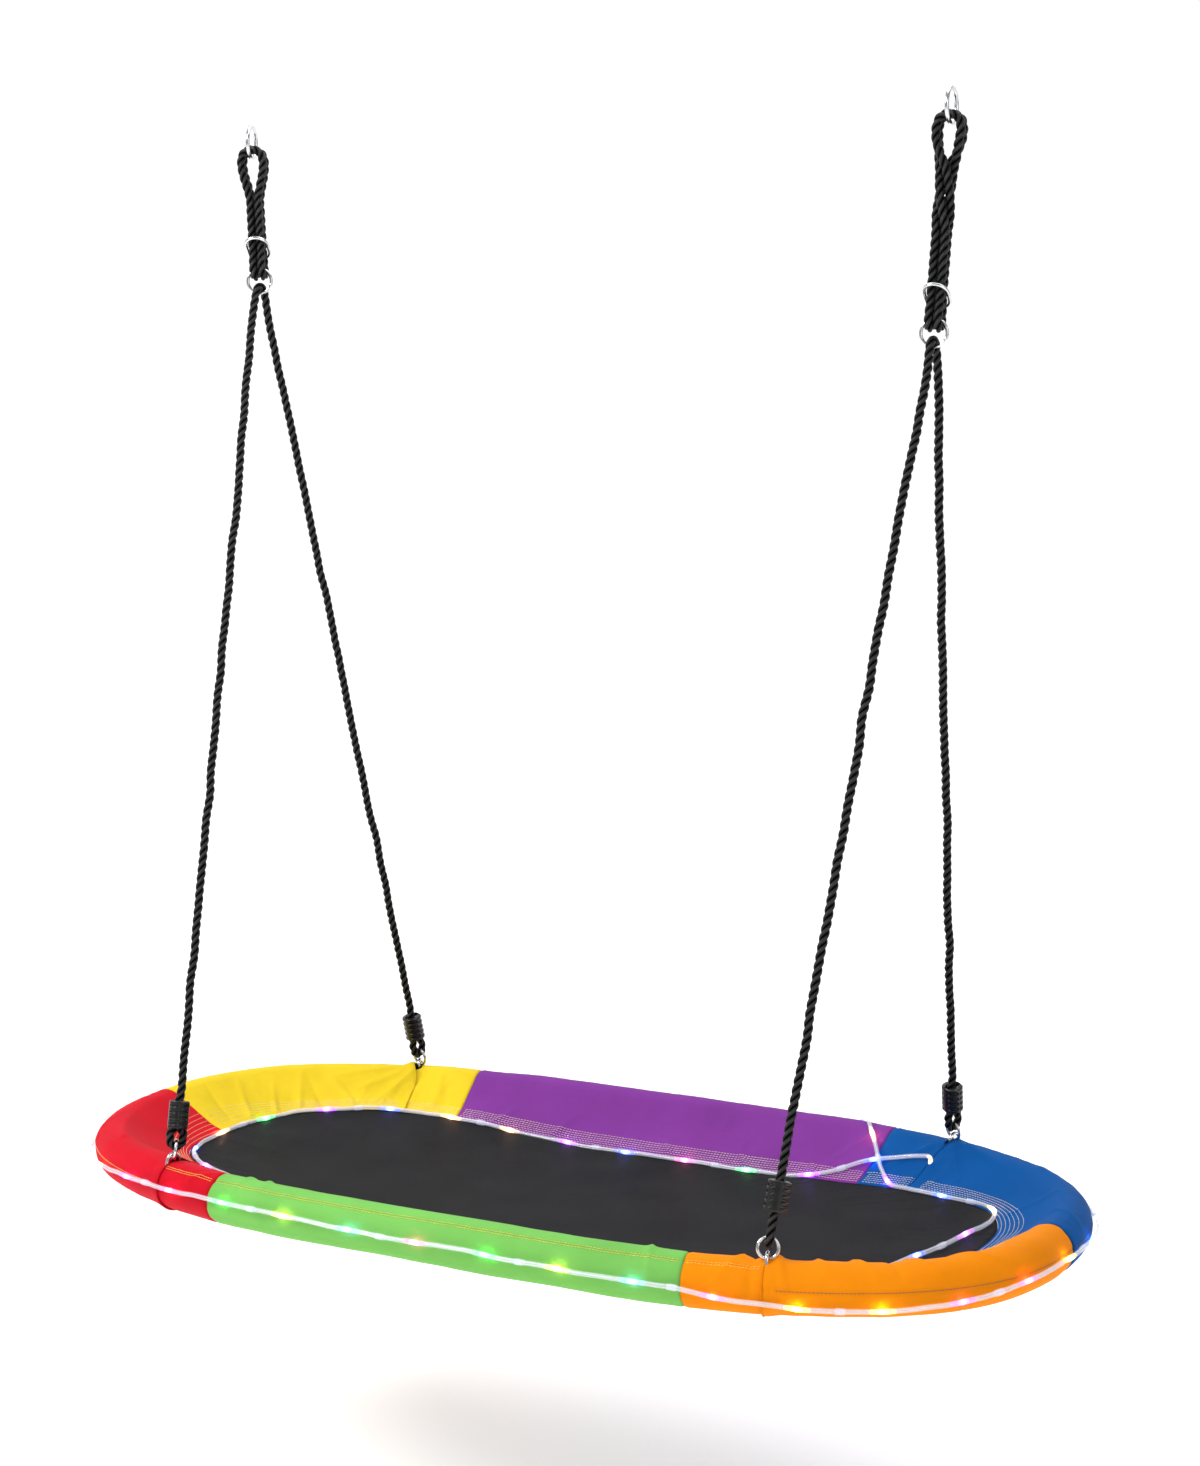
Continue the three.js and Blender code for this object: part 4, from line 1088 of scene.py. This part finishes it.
for name, colour, start, end, start_kind, end_kind in PIECES:
    q = np.linspace(0, 1, AROUND)
    length = (end - start) * OVAL_LENGTH
    rows = int(length / 4) + 1
    f = np.linspace(0, 1, rows)[:, None]
    lo = start + mm_to_u(end_shift(start_kind, q, start))[None, :]
    hi = end - mm_to_u(end_shift(end_kind, q, end))[None, :]
    u = lo + (hi - lo) * f
    qq = np.broadcast_to(q[None, :], u.shape)
    lift = end_lift(start_kind, (u - lo) * OVAL_LENGTH)
    lift = lift + end_lift(end_kind, (hi - u) * OVAL_LENGTH)
    outer = cover_place(u, qq, lift)
    normal = cover_normal(u, qq, lift)
    points, faces = shell(outer, normal, SKIN)
    uv = np.stack([u.ravel() * OVAL_LENGTH * 0.001, qq.ravel() * SECTION_LENGTH * 0.001], 1)
    cover = new_mesh(f"sewn_cover_{name}", points, faces, fabric[colour], np.vstack([uv, uv]))
    stand_in(cover, f"cover_{name}")
    for kind, line_u, sign in ((start_kind, lo[0], 1), (end_kind, hi[0], -1)):
        if kind != "over":
            continue
        hem_u = line_u + sign * mm_to_u(1.2)
        hem = cover_place(hem_u, q, OVERLAP_LIFT - 0.2)
        points, faces, uv = closed_tube(hem, 1.25, 8)
        seat_piece(new_mesh(f"hem_{name}", points, faces, fabric[colour], uv))


# ---- stitching ----
def stitches(u, q, spacing=5.2, length=4.3, radius=0.4, lift=0.0):
    """Short raised stitches along a line on the cover."""
    fine_u = np.interp(np.linspace(0, 1, 3000), np.linspace(0, 1, len(u)), u)
    fine_q = np.interp(np.linspace(0, 1, 3000), np.linspace(0, 1, len(q)), q)
    path = cover_place(fine_u, fine_q, lift)
    run = run_of(path)
    count = int(run[-1] / spacing)
    at = (np.arange(count) + 0.5) * spacing
    su, sq = np.interp(at, run, fine_u), np.interp(at, run, fine_q)
    middle = cover_place(su, sq, lift)
    normal = cover_normal(su, sq, lift)
    after, before = (np.stack([np.interp(at + d, run, axis) for axis in path.T], 1) for d in (0.5, -0.5))
    ahead = unit(after - before)
    side = np.cross(normal, ahead)
    points, faces = [], []
    rings = ((-0.5, 0.35, -0.25), (-0.25, 1.0, 0.2), (0.25, 1.0, 0.2), (0.5, 0.35, -0.25))
    for place, size, rise in rings:
        for a in turns(5):
            points.append(middle + ahead * length * place + side * radius * size * math.cos(a)
                          + normal * (radius * size * math.sin(a) + rise * radius))
    points = np.stack(points, 1).reshape(-1, 3)
    single = [list(f) for f in grid_faces(4, 5, wrap_columns=True, flip=True)]
    single += [[0, 1, 2, 3, 4], [19, 18, 17, 16, 15]]
    for k in range(count):
        faces.extend([[v + 20 * k for v in face] for face in single])
    return points, faces


def line_of(start, end, q_at):
    u = np.linspace(start, end, 400)
    return u, q_at(u)


def band_row(u, k):
    """Rows of stitching by the mat: close together on the sides, fanned out round the ends."""
    ends = bell(wrapped(u, 0.0), 190) + bell(wrapped(u, 0.5), 150)
    return (6 + k * (4.2 + 5.0 * ends)) / SECTION_LENGTH


BAND_ROWS = 6
seam_margin = mm_to_u(3)
for name, colour, start, end, start_kind, end_kind in PIECES:
    lo, hi = start + seam_margin, end - seam_margin
    rows = [stitches(*line_of(lo, hi, lambda u, k=k: band_row(u, k))) for k in range(BAND_ROWS)]
    seat_piece(new_mesh(f"band_stitch_{name}", *merge(rows), thread_light))
    is_end = name in ("blue", "yellow", "red", "orange")
    angles, lift = ((LOW_SEAM,), 0.9) if is_end else (SEAM_ROWS, 0.5)
    outside = [stitches(*line_of(lo, hi, lambda u, d=d: q_of_angle(u, d)), lift=lift) for d in angles]
    thread = thread_dark if name in ("blue", "orange") else thread_gold
    seat_piece(new_mesh(f"rim_stitch_{name}", *merge(outside), thread))

# ---- mat: height of its middle, about half its narrow width, thickness, flat size ----
RINGS, SPOKES = 64, 420
MAT_MIDDLE = -44.0
MAT_SPAN = 330.0
MAT_THICK = 1.6
spoke_u = np.arange(SPOKES) / SPOKES
edge = rim_point(spoke_u, -mat_reach(spoke_u) - 0.3, mat_edge_z(spoke_u))
rho = (np.arange(RINGS) + 1) / RINGS
mat_field = Field(71)
grid = np.zeros((RINGS, SPOKES, 3))
grid[..., :2] = rho[:, None, None] * edge[None, :, :2]
rise = (edge[None, :, 2] - MAT_MIDDLE) * rho[:, None] ** 4
from_edge = (1 - rho[:, None]) * MAT_SPAN
wrinkle = 1 - np.abs(mat_field(spoke_u * OVAL_LENGTH / 26, 0))
wrinkle = wrinkle[None, :] ** 3 * bell(from_edge, 55) * 1.8
near_edge = np.clip(from_edge / 6, 0, 1)
broad = 0.5 * mat_field(grid[..., 0] / 120 + 40, grid[..., 1] / 90 + 20)
grid[..., 2] = MAT_MIDDLE + rise + (wrinkle + broad - 0.9 * bell(from_edge, 30)) * near_edge
top = np.concatenate([grid.reshape(-1, 3), [[0, 0, MAT_MIDDLE + 0.5 * mat_field(40, 20)]]])
bottom = top - [0, 0, MAT_THICK]
n = len(top)
faces = [list(f) for f in grid_faces(RINGS, SPOKES, wrap_columns=True, flip=True)]
faces += fan(n - 1, 0, SPOKES)
under = [[v + n for v in f[::-1]] for f in faces]
last = (RINGS - 1) * SPOKES
k1 = last + np.arange(SPOKES)
k2 = last + (np.arange(SPOKES) + 1) % SPOKES
rim = np.stack([k1, k1 + n, k2 + n, k2], 1).tolist()
woven_mat = new_mesh("woven_mat", np.concatenate([top, bottom]), faces + under + rim, mat_cloth)
stand_in(woven_mat, "mat")
x, y = edge[:, 0] * 0.001, edge[:, 1] * 0.001
mat_area = 0.5 * abs(float(np.sum(x * np.roll(y, -1) - np.roll(x, -1) * y)))


# ---- foam, tube ends and the battery pouch ----
def sleeve(name, start, end, outer, inner, material, sides=28):
    """Pipe along the oval with closed ends."""
    u = np.linspace(start, end, int((end - start) * OVAL_LENGTH / 6) + 2)
    a = turns(sides)
    rings = []
    for radius in (outer, inner):
        rings.append(rim_point(u[:, None], radius * np.cos(a)[None, :], radius * np.sin(a)[None, :]))
    rows = len(u)
    stack = np.concatenate([rings[0], rings[1][::-1]])
    return new_mesh(name, stack.reshape(-1, 3), grid_faces(2 * rows, sides, True, True), material)


eye_gap, seam_gap = mm_to_u(EYE_GAP), mm_to_u(SEAM_GAP)
for name, start, end in (
    ("end_right", -EYE_U, EYE_U), ("side_far", EYE_U, 0.5 - EYE_U),
    ("end_left", 0.5 - EYE_U, 0.5 + EYE_U), ("side_near", 0.5 + EYE_U, 1 - EYE_U),
):
    pad = sleeve(f"foam_sleeve_{name}", start + eye_gap, end - eye_gap, FOAM_R, TUBE_R + 0.6, foam_rubber)
    stand_in(pad, f"foam_{name}")
for name, middle in (("end_right", 0.0), ("end_left", 0.5)):
    reach = SPLICE_U - seam_gap
    pipe = sleeve(f"bent_tube_{name}", middle - reach, middle + reach, TUBE_R, TUBE_R - TUBE_WALL,
                  frame_steel)
    stand_in(pipe, f"frame_{name}")


def pouch_mesh():
    """Soft pocket under the mat, open at the top and towards the rim."""
    t = np.append(oval_tangent(EYE_U), 0)
    inward = np.array([-t[1], t[0], 0])
    centre = rim_point(EYE_U, BOX_OUT, BOX_Z)
    length, width, floor, brim, wall_thick = 37.0, 25.2, -12.9, 10.6, 1.1
    sides, rows = 80, 15
    theta = turns(sides)
    power = 0.28
    x = length * np.sign(np.cos(theta)) * np.abs(np.cos(theta)) ** power
    y = width * np.sign(np.sin(theta)) * np.abs(np.sin(theta)) ** power + 0.2
    heights = np.linspace(floor, brim, rows)
    points = []
    for wall, order in ((0.0, range(rows)), (wall_thick, reversed(range(rows)))):
        for k in order:
            h = heights[k]
            close = 1 - 0.06 * np.clip((-8 - h) / 5, 0, 1) ** 2
            puff = 0.25 * np.sin(theta * 9 + h * 0.3)
            px = (x - np.sign(x) * wall) * close
            py = (y - np.sign(y) * wall) * close + puff
            pz = max(h, floor + wall)
            points.append(centre + px[:, None] * t + py[:, None] * inward + np.array([0, 0, pz]))
    grid = np.array(points)
    total = 2 * rows
    ends = [centre + [0, 0, floor], centre + [0, 0, floor + wall_thick]]
    verts = np.concatenate([grid.reshape(-1, 3), ends])
    faces = [list(f) for f in grid_faces(total, sides, wrap_columns=True)]
    faces += fan(total * sides, 0, sides, flip=True)
    faces += fan(total * sides + 1, (total - 1) * sides, sides)
    return new_mesh("sewn_pouch", verts, faces, pouch_cloth)


stand_in(pouch_mesh(), "battery_pouch")

# ---- CAD pieces that stay ----
for name, obj in NODES.items():
    if obj.hide_render:
        continue
    steel = name.startswith(("frame", "splice", "spring"))
    material = frame_steel if steel else box_plastic
    obj.data.materials.clear()
    obj.data.materials.append(material)

# ---- studio ----
WORLD_STRENGTH = 0.36
STAGE_GLOW = 0.42


def stage_material():
    material, tree, shader = principled("stage", (0.93, 0.93, 0.93), 0.9)
    vector = coordinates(tree)
    cloud = noise(tree, vector, 0.8, 2.0)
    tint(tree, shader, cloud, (0.3, (0.92, 0.92, 0.92)), (0.7, (0.95, 0.95, 0.95)))
    shader.inputs["Emission Color"].default_value = (1, 1, 1, 1)
    shader.inputs["Emission Strength"].default_value = STAGE_GLOW
    return material


# Studio, mm: floor height, where the sweep starts, its radius and half width, and the rows of the
# flat floor and of the wall above the sweep.
FLOOR_Z, SWEEP_START, SWEEP_R, HALF_WIDTH = -480, 2300, 4500, 12000
FLOOR_ROWS = (-9000, -4000, -1000, 500, 1500, 2000, 2200)
WALL_ROWS = (200, 1000, 4500)


def backdrop():
    """Floor that sweeps up into a wall behind the swing, square to the camera."""
    ahead = np.array([math.cos(CAMERA_YAW), math.sin(CAMERA_YAW), 0])
    side = np.array([math.sin(CAMERA_YAW), -math.cos(CAMERA_YAW), 0])
    turn = np.radians(np.arange(0, 91, 3))
    profile = [(run, 0) for run in FLOOR_ROWS]
    profile += [*np.stack([SWEEP_START + SWEEP_R * np.sin(turn), SWEEP_R * (1 - np.cos(turn))], 1)]
    profile += [(SWEEP_START + SWEEP_R, SWEEP_R + height) for height in WALL_ROWS]
    rows = [ahead * run + side * across + [0, 0, FLOOR_Z + height]
            for run, height in profile for across in (-HALF_WIDTH, HALF_WIDTH)]
    return new_mesh("backdrop", np.array(rows), grid_faces(len(profile), 2, flip=True), stage_material())


backdrop()
scene = bpy.context.scene
scene.view_settings.view_transform = "Standard"
studio = bpy.data.worlds.new("studio")
studio.use_nodes = True
studio.node_tree.nodes["Background"].inputs["Color"].default_value = (1, 1, 1, 1)
studio.node_tree.nodes["Background"].inputs["Strength"].default_value = WORLD_STRENGTH
scene.world = studio


def area_light(name, place, target, size, power):
    data = bpy.data.lights.new(name, "AREA")
    data.shape = "RECTANGLE"
    data.size, data.size_y = size
    data.energy = power
    direction = unit(np.array(target) - np.array(place))
    right = unit(np.cross(direction, UP))
    put(name, data, right, np.cross(right, direction), -direction, place)


area_light("key", (-2.2, -2.4, 1.6), (0, 0, -1.4), (1.8, 1.4), 150)
area_light("fill", (3.6, -1.6, 0.4), (0, 0, -1.2), (2.4, 2.4), 28)
area_light("top", (0.2, 0.6, 2.0), (0, 0, -1.5), (3.2, 2.4), 60)
